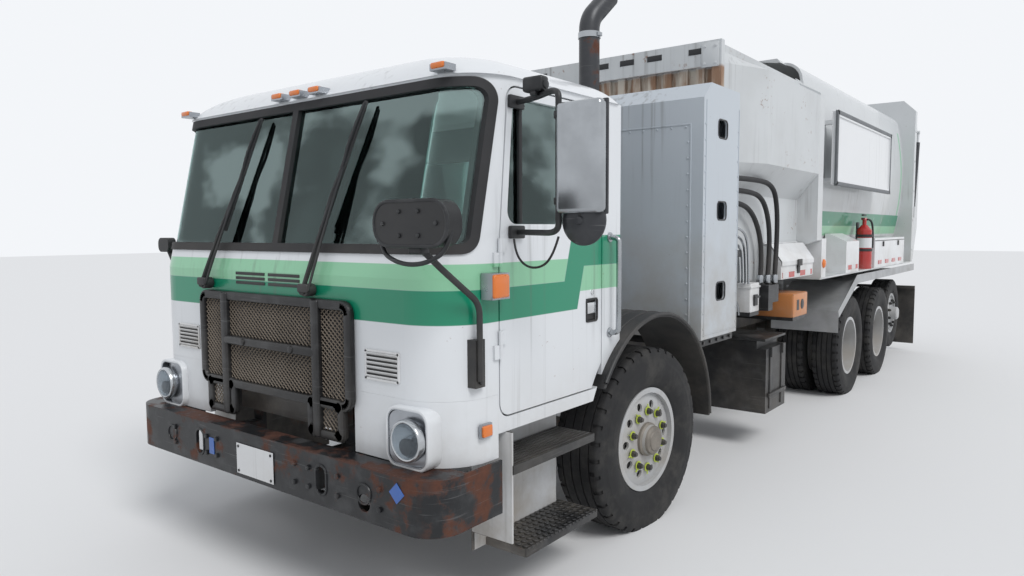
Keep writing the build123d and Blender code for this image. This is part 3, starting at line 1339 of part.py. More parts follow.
def finger(pivot_y, way):
    """One gripping finger, stowed flat along the truck, bent in at its tip."""
    with BuildPart() as piece:
        tip = pivot_y + way * finger_length
        with BuildSketch(Plane.XY.offset(finger_low)) as plan:
            with BuildLine():
                Polyline((finger_x + 18, along(pivot_y)), (finger_x + 18, along(tip - way * 110)),
                         (finger_x - 42, along(tip)), (finger_x - 66, along(tip)),
                         (finger_x - 12, along(tip - way * 126)), (finger_x - 18, along(pivot_y)), close=True)
            make_face()
        extrude(plan.sketch, amount=finger_high - finger_low)
        block(finger_x - 80, finger_x + 30, *sorted((pivot_y + way * 60, pivot_y + way * (finger_length + 5))),
              finger_low + 45, finger_high - 45, Mode.SUBTRACT)
        block(finger_x - 18, finger_x + 18, *sorted((pivot_y + way * 200, pivot_y + way * 240)), finger_low, finger_high)
        block(finger_x - 60, finger_x - 45, *sorted((tip - way * 30, tip)), finger_low, finger_high)
        bar((finger_x, pivot_y, finger_low), (finger_x, pivot_y, finger_high), 32)
        bar((finger_x, pivot_y, finger_low - 1), (finger_x, pivot_y, finger_high + 1), finger_pin_radius + pin_clearance,
            Mode.SUBTRACT)
    return piece


write(finger(finger_pivots_y[0], -1), "finger_front")
write(finger(finger_pivots_y[1], 1), "finger_rear")
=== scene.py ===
# %% [markdown]
# A side-loading refuse truck, dressed for a studio picture.
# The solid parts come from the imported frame, in metres: the truck faces -Y, its left side is +X and
# the ground is Z = 0. This file gives every part its finish and adds what is too fine for the solids:
# tyre tread, wheel nuts, mirrors, trim, lamps and dust. Places along the truck are measured from the
# front axle, so we say where that lies in the frame and let the helpers add it.

# %% Load the frame
from math import atan2, cos, pi, radians, sin

import bmesh
import bpy
from mathutils import Matrix, Vector


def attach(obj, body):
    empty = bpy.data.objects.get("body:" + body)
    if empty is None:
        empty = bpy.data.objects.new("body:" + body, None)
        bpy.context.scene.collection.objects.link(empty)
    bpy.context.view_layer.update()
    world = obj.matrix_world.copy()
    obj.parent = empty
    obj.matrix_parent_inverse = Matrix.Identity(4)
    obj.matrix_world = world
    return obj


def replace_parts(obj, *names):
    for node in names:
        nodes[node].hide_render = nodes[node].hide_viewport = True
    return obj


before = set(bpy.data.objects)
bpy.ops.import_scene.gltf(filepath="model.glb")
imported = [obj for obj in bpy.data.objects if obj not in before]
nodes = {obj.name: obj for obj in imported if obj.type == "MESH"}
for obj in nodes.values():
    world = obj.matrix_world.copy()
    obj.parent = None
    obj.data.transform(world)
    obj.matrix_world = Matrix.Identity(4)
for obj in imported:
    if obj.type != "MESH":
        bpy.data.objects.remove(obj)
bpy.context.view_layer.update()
front_axle_y = -3.18
both_sides = ((1, "left"), (-1, "right"))


def from_axle(point):
    """The place in the frame of a point whose y is measured from the front axle."""
    return Vector(point) + Vector((0, front_axle_y, 0))


print("nodes", len(nodes), "front axle at y =", front_axle_y)

# %% [markdown]
# The picture is taken from the front left corner at eye height, with a wide lens.
# A camera in Blender looks along its own -Z, so it is tipped up by a right angle less the pitch and
# then turned by the yaw about the vertical. A small roll about its own line of sight comes last.

# %% Camera
eye = from_axle((3.1491, -3.8662, 1.7363))
yaw, pitch, roll = radians(37.945), radians(4.427), radians(-0.293)
focal_pixels = 740.18
picture_width = 1024

camera_data = bpy.data.cameras.new("camera")
camera = bpy.data.objects.new("camera", camera_data)
bpy.context.scene.collection.objects.link(camera)
turn = Matrix.Rotation(yaw, 4, "Z") @ Matrix.Rotation(pi / 2 - pitch, 4, "X") @ Matrix.Rotation(roll, 4, "Z")
camera.matrix_world = Matrix.Translation(eye) @ turn
camera_data.sensor_width = 36.0
camera_data.lens = focal_pixels / picture_width * camera_data.sensor_width
camera_data.clip_end = 200.0
bpy.context.scene.camera = camera
print("lens", round(camera_data.lens, 2), "mm")

# %% [markdown]
# A finish is a small network of shader nodes. Written out node by node it is hard to read, so we wrap a
# socket in a class that understands + - * /, and let one method make every node. A sum such as
# `dust * 0.5 + rust` then builds the Math nodes by itself.

# %% Shader maths
class Wire:
    """A number, colour or vector socket that takes part in sums."""

    def __init__(self, network, socket):
        self.network = network
        self.socket = socket

    def out(self, name):
        """Another output of the same node."""
        return Wire(self.network, self.socket.node.outputs[name])

    def sum_with(self, operation, first, second=None):
        sockets = {0: first} if second is None else {0: first, 1: second}
        return self.network.node("ShaderNodeMath", {"operation": operation}, sockets)

    def larger(self, other):
        return self.sum_with("MAXIMUM", self, other)

    def smaller(self, other):
        return self.sum_with("MINIMUM", self, other)

    def size(self):
        return self.sum_with("ABSOLUTE", self)

    def to_and_fro(self, step):
        """A sawtooth that runs up to step and back down."""
        return self.sum_with("PINGPONG", self, step)

    def ramp(self, low, high):
        """0 below low, 1 above high, and smooth between."""
        return self.network.node("ShaderNodeMapRange", {"interpolation_type": "SMOOTHSTEP"},
                                 {0: self, 1: low, 2: high})

    def past(self, edge, soft=0.004):
        """0 before an edge and 1 after it."""
        return self.ramp(edge - soft, edge + soft)

    def between(self, low, high, soft=0.004):
        """1 from low to high and 0 outside."""
        return self.past(low, soft) * (1 - self.past(high, soft))


operators = {"add": "ADD", "sub": "SUBTRACT", "mul": "MULTIPLY", "truediv": "DIVIDE", "pow": "POWER"}
for word, operation in operators.items():
    setattr(Wire, f"__{word}__", lambda self, other, kind=operation: self.sum_with(kind, self, other))
    setattr(Wire, f"__r{word}__", lambda self, other, kind=operation: self.sum_with(kind, other, self))


class Network:
    """A tree of nodes, all of which are made by one method."""

    def __init__(self, tree):
        self.tree = tree
        tree.nodes.clear()

    def node(self, kind, settings=None, sockets=None, out=0):
        """Make a node, with its settings first and then the values or wires of its sockets."""
        made = self.tree.nodes.new(kind)
        for name, value in (settings or {}).items():
            setattr(made, name, value)
        for key, value in (sockets or {}).items():
            if isinstance(value, Wire):
                self.tree.links.new(value.socket, made.inputs[key])
            else:
                made.inputs[key].default_value = value
        return Wire(self, made.outputs[out]) if made.outputs else made

    def mix_shaders(self, share, first, second):
        return self.node("ShaderNodeMixShader", sockets={0: share, 1: first, 2: second})


finishes = {}


class Finish(Network):
    """One material, kept in finishes by its name, with the textures that all finishes share."""

    def __init__(self, name):
        finishes[name] = bpy.data.materials.new(name)
        finishes[name].use_nodes = True
        super().__init__(finishes[name].node_tree)
        self.place = self.node("ShaderNodeTexCoord", out="Object")
        self.x = self.node("ShaderNodeSeparateXYZ", sockets={0: self.place})
        self.y, self.z = self.x.out(1), self.x.out(2)

    def along(self):
        """The place along the truck, measured from the front axle."""
        return self.y - front_axle_y

    def mix(self, factor, first, second):
        """A colour between two colours."""
        return self.node("ShaderNodeMix", {"data_type": "RGBA"}, {0: factor, 6: first, 7: second}, out=2)

    def stretch(self, x, y, z):
        """The place, scaled along each axis, for streaks and grain."""
        return self.node("ShaderNodeMapping", sockets={"Vector": self.place, "Scale": (x, y, z)})

    def noise(self, scale, detail=4.0, rough=0.55, where=None):
        return self.node("ShaderNodeTexNoise", sockets={"Vector": where or self.place, "Scale": scale,
                                                        "Detail": detail, "Roughness": rough})

    def bump(self, height, strength, distance):
        return self.node("ShaderNodeBump",
                         sockets={"Height": height, "Strength": strength, "Distance": distance})

    def principled(self, **sockets):
        """The usual shader: names use _ for a space, such as Base_Color."""
        named = {key.replace("_", " "): value for key, value in sockets.items()}
        return self.node("ShaderNodeBsdfPrincipled", sockets=named)

    def end(self, shader):
        self.node("ShaderNodeOutputMaterial", sockets={"Surface": shader})

    def surface(self, **sockets):
        self.end(self.principled(**sockets))


# %% [markdown]
# The studio is a plain pale floor under soft light. The world gives an even fill, and one broad sun
# adds shape and a soft shadow. The background is made pale by what the camera sees of the world,
# and not by more light on the truck. Metal and glass see that pale world too.

# %% Studio
floor_half = 60.0
sun_strength, sun_spread = 1.6, radians(25)
sun_turn = (radians(42), radians(8), radians(62))
fill_colour, fill_strength = (0.92, 0.95, 1.0, 1), 0.62
backdrop_colour = (0.90, 0.92, 0.95, 1)

bpy.ops.object.select_all(action="DESELECT")
bpy.ops.mesh.primitive_plane_add(size=2 * floor_half, location=(0, 0, 0))
floor = bpy.context.active_object
floor.name = "floor"

sun_data = bpy.data.lights.new("sun", "SUN")
sun_data.energy = sun_strength
sun_data.angle = sun_spread
sun = bpy.data.objects.new("sun", sun_data)
sun.rotation_euler = sun_turn
bpy.context.scene.collection.objects.link(sun)

world = bpy.data.worlds.new("studio")
bpy.context.scene.world = world
world.use_nodes = True
studio = Network(world.node_tree)
seen = studio.node("ShaderNodeLightPath", out="Is Camera Ray")
seen = seen.larger(seen.out("Is Glossy Ray")).larger(seen.out("Is Transmission Ray"))
fill = studio.node("ShaderNodeBackground", sockets={"Color": fill_colour, "Strength": fill_strength})
backdrop = studio.node("ShaderNodeBackground", sockets={"Color": backdrop_colour, "Strength": 1.0})
studio.node("ShaderNodeOutputWorld", sockets={"Surface": studio.mix_shaders(seen, fill, backdrop)})
bpy.context.scene.view_settings.view_transform = "Standard"

# %% [markdown]
# White paint on a working truck is never one white. Dust gathers low down, rain draws it into streaks,
# and stone chips rust. Each of these is a mask between 0 and 1, made from noise and from the height
# above the ground, and the paint is mixed through the masks in turn.

# %% Dirt masks
dust_colour = (0.36, 0.32, 0.27, 1)
rust_colour = (0.20, 0.075, 0.03, 1)
grime_colour = (0.10, 0.09, 0.08, 1)


def dust_mask(finish, low, high, amount):
    """Dust that is thickest at the height low and gone by high, broken up by noise."""
    cloud = finish.noise(2.2, 6.0, 0.65)
    return (1 - finish.z.ramp(low, high)) * cloud.ramp(0.30, 0.72) * amount


def streak_mask(finish, amount):
    """Thin stains that run down a wall."""
    lines = finish.noise(1.0, 3.0, 0.5, finish.stretch(26, 26, 0.9))
    patch = finish.noise(1.3, 2.0)
    return lines.ramp(0.52, 0.78) * patch.ramp(0.42, 0.66) * amount


def chip_mask(finish, scale=34.0, share=0.66):
    """Small chips, gathered in patches."""
    spots = finish.noise(scale, 5.0, 0.7)
    patch = finish.noise(3.1, 3.0)
    return spots.ramp(share, share + 0.05) * patch.ramp(0.50, 0.62)


# %% [markdown]
# The cab carries two green bands: a pale one over a deep one, level round the front and along the door.
# Behind the door handle the deep band climbs at a slant and runs on higher up. Bands are drawn on the
# places in space, not on a texture, so they meet exactly where the door, the shell and the pillar meet.

# %% Green bands of the cab
pale_green = (0.25, 0.55, 0.34, 1)
deep_green = (0.004, 0.235, 0.125, 1)
band_low, band_middle, band_high = 1.350, 1.493, 1.600
rear_pale_low, rear_low, rear_high = 1.437, 1.560, 1.712
slant, slant_height = 0.29, 1.5
slant_start, slant_end = -0.920, -0.765
level_soft, slant_soft = 0.002, 0.003


def cab_bands(finish):
    """Two masks: where the pale and where the deep green lie on the cab."""
    back = finish.along() - (finish.z - slant_height) * slant
    risen = back.past(slant_start, slant_soft)
    past_slant = back.past(slant_end, slant_soft)
    deep = finish.z.between(band_low, band_middle, level_soft) * (1 - past_slant)
    deep = deep.larger(finish.z.between(rear_low, rear_high, level_soft) * risen)
    deep = deep.larger(finish.z.between(band_low, rear_high, level_soft) * risen * (1 - past_slant))
    pale = finish.z.between(band_middle, band_high, level_soft) * (1 - risen)
    pale = pale.larger(finish.z.between(rear_pale_low, rear_low, level_soft) * past_slant)
    return pale, deep


# %% [markdown]
# The cab's shell is painted white outside and dark grey inside, in one solid: the grey is partly the trim's colour
# and partly painted shade of the closed cab. A painter would mask it; we tell inner faces from outer ones by how far
# out they lie, round the cab's corners and up the lean of the windshield. The same paint, in other colours, serves the
# boxes, rims and the body.

# %% White paint
cab_front, cab_side, cab_corner = -1.740, 1.172, 0.250
belt_height, windshield_lean = 1.540, 0.2212
lining_low, lining_high, lining_rear = 0.965, 2.36, -0.415
cab_white = (0.72, 0.74, 0.76, 1)
# dark grey of the cab's inner faces: partly trim colour, partly painted shade of the closed cab
lining_and_shade_grey = (0.05, 0.052, 0.055, 1)


def cab_inside(finish):
    """1 on the inner faces of the cab's walls."""
    back = finish.along() - cab_front - (finish.z - belt_height).larger(0.0) * windshield_lean
    over_side = (finish.x.size() - (cab_side - cab_corner)).larger(0.0)
    over_front = (cab_corner - back).larger(0.0)
    out = (over_side ** 2 + over_front ** 2) ** 0.5
    inner = 1 - out.ramp(cab_corner - 0.028, cab_corner - 0.020)
    return inner * finish.z.between(lining_low, lining_high) * (1 - finish.along().past(lining_rear, 0.005))


def paint(name, colour, roughness=0.32, dust=(0.2, 1.3), dust_amount=0.75, streaks=0.35, chips=0.7, bands=None):
    """Gloss paint with dust, streaks and a few rusty chips, and green bands if given."""
    finish = Finish(name)
    shaded = tuple(c * 0.86 for c in colour[:3]) + (1,)
    base = finish.mix(finish.noise(0.9, 3.0).ramp(0.3, 0.7) * 0.25, colour, shaded)
    if bands:
        for mask, green in zip(bands(finish), (pale_green, deep_green)):
            base = finish.mix(mask, base, green)
    if bands is cab_bands:
        # inner faces turn dark grey: trim colour and painted shade of the closed cab
        base = finish.mix(cab_inside(finish), base, lining_and_shade_grey)
    streaked = finish.mix(streak_mask(finish, streaks), base, grime_colour)
    dusted_by = dust_mask(finish, *dust, dust_amount)
    chipped_by = chip_mask(finish) * chips
    coloured = finish.mix(chipped_by, finish.mix(dusted_by, streaked, dust_colour), rust_colour)
    ripple = finish.noise(5.0, 2.0) * 0.6 + finish.noise(160.0, 2.0) * 0.02
    finish.surface(Base_Color=coloured, Roughness=roughness + dusted_by * 0.4 + chipped_by * 0.3,
                   Coat_Weight=0.35, Normal=finish.bump(ripple, 0.25, 0.004))


paint("cab paint", cab_white, bands=cab_bands)
paint("box paint", (0.76, 0.77, 0.78, 1), dust=(0.9, 2.0), streaks=0.3)
# The enclosure's grey is set darker than its paint: painted shade, as on its shaded front face.
paint("enclosure paint", (0.50, 0.545, 0.59, 1), 0.38, dust=(0.9, 2.2), streaks=0.5)
paint("red paint", (0.42, 0.018, 0.015, 1), 0.22, dust=(1.2, 1.6), dust_amount=0.3, chips=0.4)
paint("orange paint", (0.55, 0.20, 0.05, 1), 0.5, dust=(0.7, 1.4), dust_amount=0.5)
paint("rim paint", (0.44, 0.45, 0.46, 1), 0.45, dust=(0.1, 1.2), dust_amount=0.85, chips=1.0)

# %% [markdown]
# The body is pale grey with one green band along each side, low on the barrel: pale under deep, and a
# pale line that sweeps up at its rear end. Years of tipping leave it scuffed and stained. The barrel's
# side is an arc, and the bands lie outside it only, so the wall's inner face stays grey.

# %% Body paint
body_grey = (0.60, 0.62, 0.63, 1)
body_band = (1.672, 1.770, 1.915)
body_band_from, body_band_to = 3.21, 7.49
sweep_y, sweep_height, sweep_top = 7.40, 2.35, 3.02
sweep_bend, sweep_half = 0.16, 0.035
barrel_arc_x, barrel_arc_z, barrel_arc_radius = -2.2872, 2.4316, 3.3732
hopper_front_wall, hopper_wall_top = 1.257, 2.885


def body_bands(finish):
    """The pale and the deep band along the barrel's sides."""
    out = ((finish.x.size() - barrel_arc_x) ** 2 + (finish.z - barrel_arc_z) ** 2) ** 0.5
    side = out.ramp(barrel_arc_radius - 0.014, barrel_arc_radius - 0.008)
    worn = side * (1 - finish.noise(7.0, 5.0, 0.7).ramp(0.60, 0.75) * 0.5)
    length = finish.along().between(body_band_from, body_band_to) * worn
    pale = finish.z.between(body_band[0], body_band[1]) * length
    deep = finish.z.between(body_band[1], body_band[2]) * length
    sweep = finish.along() - sweep_y + (finish.z - sweep_height) ** 2 * sweep_bend
    line = sweep.between(-sweep_half, sweep_half) * finish.z.between(body_band[2], sweep_top) * worn
    return pale.larger(line), deep


def hopper_paint(name):
    """The body's grey, rusted through on the ribbed front wall, and dark brown inside: grime and painted shade."""
    finish = Finish(name)
    grey = finish.mix(finish.noise(1.4, 5.0).ramp(0.35, 0.7) * 0.5, body_grey, (0.46, 0.47, 0.47, 1))
    stained = finish.mix(streak_mask(finish, 0.6), grey, grime_colour)
    front = 1 - finish.along().past(hopper_front_wall, 0.005)
    low_wall = 1 - finish.z.past(hopper_wall_top, 0.015)
    runs = finish.noise(1.0, 5.0, 0.6, finish.stretch(16, 16, 2.2)).ramp(0.36, 0.62)
    rusted = finish.mix(runs, (0.52, 0.46, 0.38, 1), (0.27, 0.14, 0.07, 1))
    coloured = finish.mix(front * low_wall * 0.92, stained, rusted)
    # Inside the walls the grey turns dark brown: grime, and painted shade of the deep hopper.
    inside = (1 - finish.x.size().ramp(1.000, 1.018)) * (1 - front)
    coloured = finish.mix(inside * 0.8, coloured, (0.14, 0.11, 0.09, 1))
    coloured = finish.mix(chip_mask(finish, 22.0, 0.60) * 0.8, coloured, rust_colour)
    finish.surface(Base_Color=coloured, Roughness=0.45 + runs * front * 0.4, Metallic=0.1,
                   Normal=finish.bump(finish.noise(6.0, 4.0), 0.3, 0.006))


paint("body paint", body_grey, 0.42, dust=(1.0, 3.2), dust_amount=0.35, streaks=0.45, chips=0.8,
      bands=body_bands)
hopper_paint("hopper paint")

# %% [markdown]
# The channel bumper is black, rubbed to a dull sheen, with brown rust breaking through in patches, most
# of all along its upper rim and at one end. The frame, brackets and steps share the black, under more
# road dust, and castings and cylinders are the same network with another tint.

# %% Black steel
bumper_rim, bumper_end = 0.753, 1.08


def black_steel(name, rust, dust, dust_amount, tint=(0.020, 0.021, 0.023, 1), worn=None):
    """Black paint on steel, with rust patches of a given share, dust, and a rim and an end worn through."""
    finish = Finish(name)
    blotch = finish.noise(5.0, 8.0, 0.68)
    rusted_by = blotch.ramp(0.70 - 0.22 * rust, 0.76 - 0.18 * rust)
    if worn:
        rim, end = worn
        rubbed = (finish.z.ramp(rim - 0.012, rim) * 0.75).larger(finish.x.ramp(end, end + 0.10))
        rusted_by = rusted_by.larger(rubbed * blotch.ramp(0.46, 0.56))
    brown = finish.mix(finish.noise(40.0, 4.0), (0.16, 0.05, 0.022, 1), (0.055, 0.026, 0.018, 1))
    base = finish.mix(finish.noise(12.0, 4.0).ramp(0.45, 0.75) * 0.4, tint, (0.07, 0.072, 0.075, 1))
    dusted_by = dust_mask(finish, *dust, dust_amount)
    coloured = finish.mix(dusted_by, finish.mix(rusted_by * 0.9, base, brown), dust_colour)
    scratches = finish.noise(1.0, 3.0, 0.6, finish.stretch(3, 3, 120)).ramp(0.62, 0.70) * 0.3
    finish.surface(Base_Color=finish.mix(scratches, coloured, (0.20, 0.20, 0.20, 1)),
                   Roughness=0.38 + rusted_by * 0.45 + dusted_by * 0.3, Metallic=0.15,
                   Normal=finish.bump(blotch + finish.noise(60.0, 3.0) * 0.3, 0.35, 0.003))


black_steel("bumper black", 0.74, (0.1, 0.8), 0.05, (0.010, 0.011, 0.013, 1), (bumper_rim, bumper_end))
black_steel("frame black", 0.30, (0.1, 1.8), 0.45)
black_steel("trim black", 0.0, (0.1, 1.6), 0.22, (0.013, 0.014, 0.016, 1))
black_steel("cast iron", 0.7, (0.1, 1.8), 0.8, (0.05, 0.045, 0.04, 1))
black_steel("dark steel", 0.45, (0.9, 1.5), 0.2, (0.035, 0.037, 0.042, 1))

# %% [markdown]
# Rubber, plastic, bare metal and chrome differ in colour, roughness and metal, but all have some cloud,
# dust and grain, so one function serves them all. A tyre's rubber is black where it has been rubbed and
# brown-grey where dust has dried on it. The dust goes all round, so its mask is noise alone.

# %% Plain finishes
def plain(name, colour, roughness, metallic=0.0, dust_amount=0.3, grain=60.0, relief=0.15):
    """A plain material with slight cloudiness, dust and a fine grain."""
    finish = Finish(name)
    darker = tuple(c * 0.72 for c in colour[:3]) + (1,)
    base = finish.mix(finish.noise(7.0, 5.0).ramp(0.35, 0.7) * 0.6, colour, darker)
    dusted_by = dust_mask(finish, 0.1, 2.2, dust_amount)
    rough = roughness + finish.noise(11.0, 4.0) * 0.12 + dusted_by * 0.3
    finish.surface(Base_Color=finish.mix(dusted_by, base, dust_colour), Roughness=rough, Metallic=metallic,
                   Normal=finish.bump(finish.noise(grain, 3.0), relief, 0.001))


def tyre_rubber(name):
    finish = Finish(name)
    cloud = finish.noise(6.0, 6.0, 0.65)
    coloured = finish.mix(cloud.ramp(0.42, 0.72) * 0.38, (0.010, 0.010, 0.011, 1), (0.085, 0.08, 0.072, 1))
    finish.surface(Base_Color=coloured, Roughness=0.72 + cloud * 0.15,
                   Normal=finish.bump(finish.noise(180.0, 2.0) + cloud * 0.5, 0.25, 0.0015))


plain("rubber", (0.016, 0.016, 0.018, 1), 0.62, dust_amount=0.35)
plain("black plastic", (0.014, 0.015, 0.017, 1), 0.45, grain=240.0)
plain("interior plastic", (0.11, 0.115, 0.12, 1), 0.6, dust_amount=0.1, relief=0.02)
plain("bare aluminium", (0.50, 0.51, 0.52, 1), 0.42, 0.75, 0.45, 90.0)
plain("stainless", (0.42, 0.44, 0.46, 1), 0.16, 0.95, 0.1, 120.0, 0.05)
plain("bezel", (0.40, 0.42, 0.45, 1), 0.22, 0.9, 0.12, 60.0, 0.05)
plain("chrome", (0.70, 0.71, 0.72, 1), 0.08, 1.0, 0.05, 50.0, 0.02)
tyre_rubber("tyre rubber")

# %% [markdown]
# Safety glass is faintly green, darker from the side and clear head on. Thin panes in the solids would
# bend light oddly with a full glass shader, so we mix a see-through shader with a gloss one, more gloss
# at a glancing angle and in broad cloudy patches, which are a painted reflection.

# %% Window glass
def window_glass(name):
    finish = Finish(name)
    tint = finish.node("ShaderNodeBsdfTransparent", sockets={"Color": (0.80, 0.87, 0.85, 1)})
    # cloud: broad patches where the gloss share is raised, a painted reflection; dirt below is a little real haze
    cloud = finish.noise(1.6, 3.0, 0.5, finish.stretch(1.0, 1.0, 1.8)).ramp(0.46, 0.58)
    dirt = finish.noise(2.0, 2.0, 0.5).ramp(0.5, 0.8)
    shine = finish.node("ShaderNodeBsdfGlossy", sockets={"Color": (0.62, 0.78, 0.76, 1),
                                                         "Roughness": 0.03 + dirt * 0.06})
    edge_on = finish.node("ShaderNodeFresnel", sockets={"IOR": 1.5})
    share = (edge_on + 0.03 + cloud * 0.20 + dirt * 0.02).smaller(1.0)
    finish.end(finish.mix_shaders(share, tint, shine))


window_glass("window glass")
print("finishes so far:", len(finishes))

# %% [markdown]
# Each solid now gets its finish. A solid comes with one material slot per record slot, and we put our
# material in place of what is there. Solids that a finer piece will replace later still get one.

# %% Dress the solids
finish_nodes = {
    "cab paint": "cab_shell cab_roof front_skirt door_left door_right",
    "box paint": "sign side_boxes toolbox_lid",
    "body paint": "body_shell tailgate lift_arm",
    "hopper paint": "hopper packer",
    "enclosure paint": "cng_enclosure",
    "red paint": "extinguisher",
    "bumper black": "bumper",
    "frame black": "frame steps carriage finger_front finger_rear",
    "trim black": "grille chassis_boxes",
    "cast iron": "engine axles knuckle_left knuckle_right",
    "dark steel": "stacks hoist_barrel tailgate_barrels",
    "black plastic": "black_fenders spot_mirrors",
    "interior plastic": "cab_interior",
    "rubber": "window_gaskets hoses",
    "bare aluminium": "rear_fenders",
    "stainless": "mirrors_left mirrors_right",
    "bezel": "lamps",
    "chrome": "hoist_rod tailgate_rods",
    "window glass": "cab_glass door_glass_left door_glass_right",
    "tyre rubber": " ".join(name for name in nodes if name.endswith(("tyre", "tyres"))),
    "rim paint": " ".join(name for name in nodes if name.endswith(("rim", "rims"))),
}


def dress(obj, finish_name):
    """Put one finish on every material slot of an object."""
    material = finishes[finish_name]
    if not obj.material_slots:
        obj.data.materials.append(material)
    for material_slot in obj.material_slots:
        material_slot.material = material


dressed = 0
for finish_name, names in finish_nodes.items():
    for name in names.split():
        dress(bpy.data.objects[name], finish_name)
        dressed += 1
print("dressed", dressed, "of", len(nodes), "solids")

# %% [markdown]
# From here on we model what the solids leave plain. Every piece is made the way it would be by hand: a
# primitive at its size and place, edit mode for its shape, and its place applied to the mesh at the end.
# A few short helpers keep the cells readable. Each one that adds a form deselects everything first,
# because an operator acts on all that is selected. They take places measured from the front axle.

# %% Helpers for editing and handing over
def start_edit():
    """Open the active mesh for editing, with all of it selected."""
    bpy.ops.object.mode_set(mode="EDIT")
    bpy.ops.mesh.select_all(action="SELECT")


def end_edit():
    bpy.ops.object.mode_set(mode="OBJECT")
    return bpy.context.active_object


def close_up():
    """Merge doubles, point the faces outwards and leave edit mode."""
    bpy.ops.mesh.select_all(action="SELECT")
    bpy.ops.mesh.remove_doubles(threshold=1e-5)
    bpy.ops.mesh.normals_make_consistent(inside=False)
    return end_edit()


def pick(kind, wanted):
    """Select the faces or edges of the edited mesh that pass a test."""
    data = bpy.context.active_object.data
    mesh = bmesh.from_edit_mesh(data)
    for part in getattr(mesh, kind):
        part.select = wanted(part)
    bmesh.update_edit_mesh(data)


def settle(piece):
    """Apply a piece's place, turn and scale to its mesh."""
    bpy.ops.object.select_all(action="DESELECT")
    piece.select_set(True)
    bpy.context.view_layer.objects.active = piece
    bpy.ops.object.transform_apply(location=True, rotation=True, scale=True)


def joined(parts):
    """Several meshes made one."""
    for part in parts:
        settle(part)
    bpy.ops.object.select_all(action="DESELECT")
    for part in parts:
        part.select_set(True)
    bpy.context.view_layer.objects.active = parts[0]
    bpy.ops.object.join()
    return parts[0]


def hand_over(name, parts, finish_name, body="chassis", smooth_angle=35):
    """Join a list of parts, and give the piece its name, slot, finish and the body that it rides on."""
    piece = joined(parts) if isinstance(parts, list) else parts
    piece.name = name
    settle(piece)
    if smooth_angle:
        bpy.ops.object.shade_smooth_by_angle(angle=radians(smooth_angle))
    dress(piece, finish_name)
    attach(piece, body)
    return piece


def copied(piece, move):
    """A copy with its own mesh, moved."""
    twin = piece.copy()
    twin.data = piece.data.copy()
    bpy.context.scene.collection.objects.link(twin)
    twin.data.transform(Matrix.Translation(move))
    return twin


# %% [markdown]
# Most small pieces come from four forms. A block and a drum are primitives with their edges rounded over,
# a turned form is an outline spun round an axis, and a rod is a round section swept along a curve.

# %% Helpers for forms
def block(centre, size, bevel=0.0, segments=3, turn=(0, 0, 0)):
    """A block with its edges rounded over."""
    bpy.ops.object.select_all(action="DESELECT")
    bpy.ops.mesh.primitive_cube_add(size=1, location=from_axle(centre), rotation=turn, scale=size)
    bpy.ops.object.transform_apply(location=False, rotation=False, scale=True)
    if bevel:
        start_edit()
        bpy.ops.mesh.bevel(offset=bevel, segments=segments, affect="EDGES")
        end_edit()
    return bpy.context.active_object


def blocks(*rows):
    """Blocks from rows of x, y, z, the three sizes, the edges' rounding and, if not 3, its segments."""
    return [block(row[:3], row[3:6], *row[6:]) for row in rows]


def drum(centre, radius, depth, axis=(0, 0, 1), corners=32, bevel=0.0, segments=2):
    """A short round bar with its rims rounded over."""
    turn_to_axis = Vector(axis).to_track_quat("Z", "Y").to_euler()
    bpy.ops.object.select_all(action="DESELECT")
    bpy.ops.mesh.primitive_cylinder_add(vertices=corners, radius=radius, depth=depth,
                                        location=from_axle(centre), rotation=turn_to_axis)
    if bevel:
        bpy.ops.object.mode_set(mode="EDIT")
        pick("edges", lambda edge: abs(edge.verts[0].co.z - edge.verts[1].co.z) < depth * 0.01)
        bpy.ops.mesh.bevel(offset=bevel, segments=segments, affect="EDGES")
        end_edit()
    return bpy.context.active_object


def turned(profile, centre, axis=(1, 0, 0), steps=48):
    """A turned form: an outline of (along the axis, radius) points, extruded point by point and spun."""
    bpy.ops.object.select_all(action="DESELECT")
    bpy.ops.mesh.primitive_plane_add(size=0.01)
    bpy.ops.object.mode_set(mode="EDIT")
    bpy.ops.mesh.merge(type="CENTER")
    bpy.ops.transform.translate(value=(profile[0][0], 0, profile[0][1]))
    for before, after in zip(profile, profile[1:]):
        step = (after[0] - before[0], 0, after[1] - before[1])
        bpy.ops.mesh.extrude_vertices_move(TRANSFORM_OT_translate={"value": step})
    bpy.ops.mesh.select_all(action="SELECT")
    bpy.ops.mesh.spin(steps=steps, angle=2 * pi, center=(0, 0, 0), axis=(1, 0, 0))
    piece = close_up()
    piece.rotation_euler = Vector(axis).to_track_quat("X", "Z").to_euler()
    piece.location = from_axle(centre)
    return piece


def curve(name, points, radius, corners, resolution=8, caps=True):
    """A curve with a round section, along control points."""
    path = bpy.data.curves.new(name, "CURVE")
    path.dimensions = "3D"
    path.bevel_depth = radius
    path.bevel_resolution = corners
    path.use_fill_caps = caps
    spline = path.splines.new("NURBS")
    spline.points.add(len(points) - 1)
    for spot, point in zip(spline.points, points):
        spot.co = (*from_axle(point), 1)
    spline.order_u = 3
    spline.use_endpoint_u = True
    spline.resolution_u = resolution
    piece = bpy.data.objects.new(name, path)
    bpy.context.scene.collection.objects.link(piece)
    return piece


def rod(points, radius, corners=3):
    """A bent round rod or tube along points, made a mesh."""
    bpy.ops.object.select_all(action="DESELECT")
    piece = curve("rod", points, radius, corners)
    piece.select_set(True)
    bpy.context.view_layer.objects.active = piece
    bpy.ops.object.convert(target="MESH")
    bpy.ops.object.mode_set(mode="EDIT")
    return close_up()


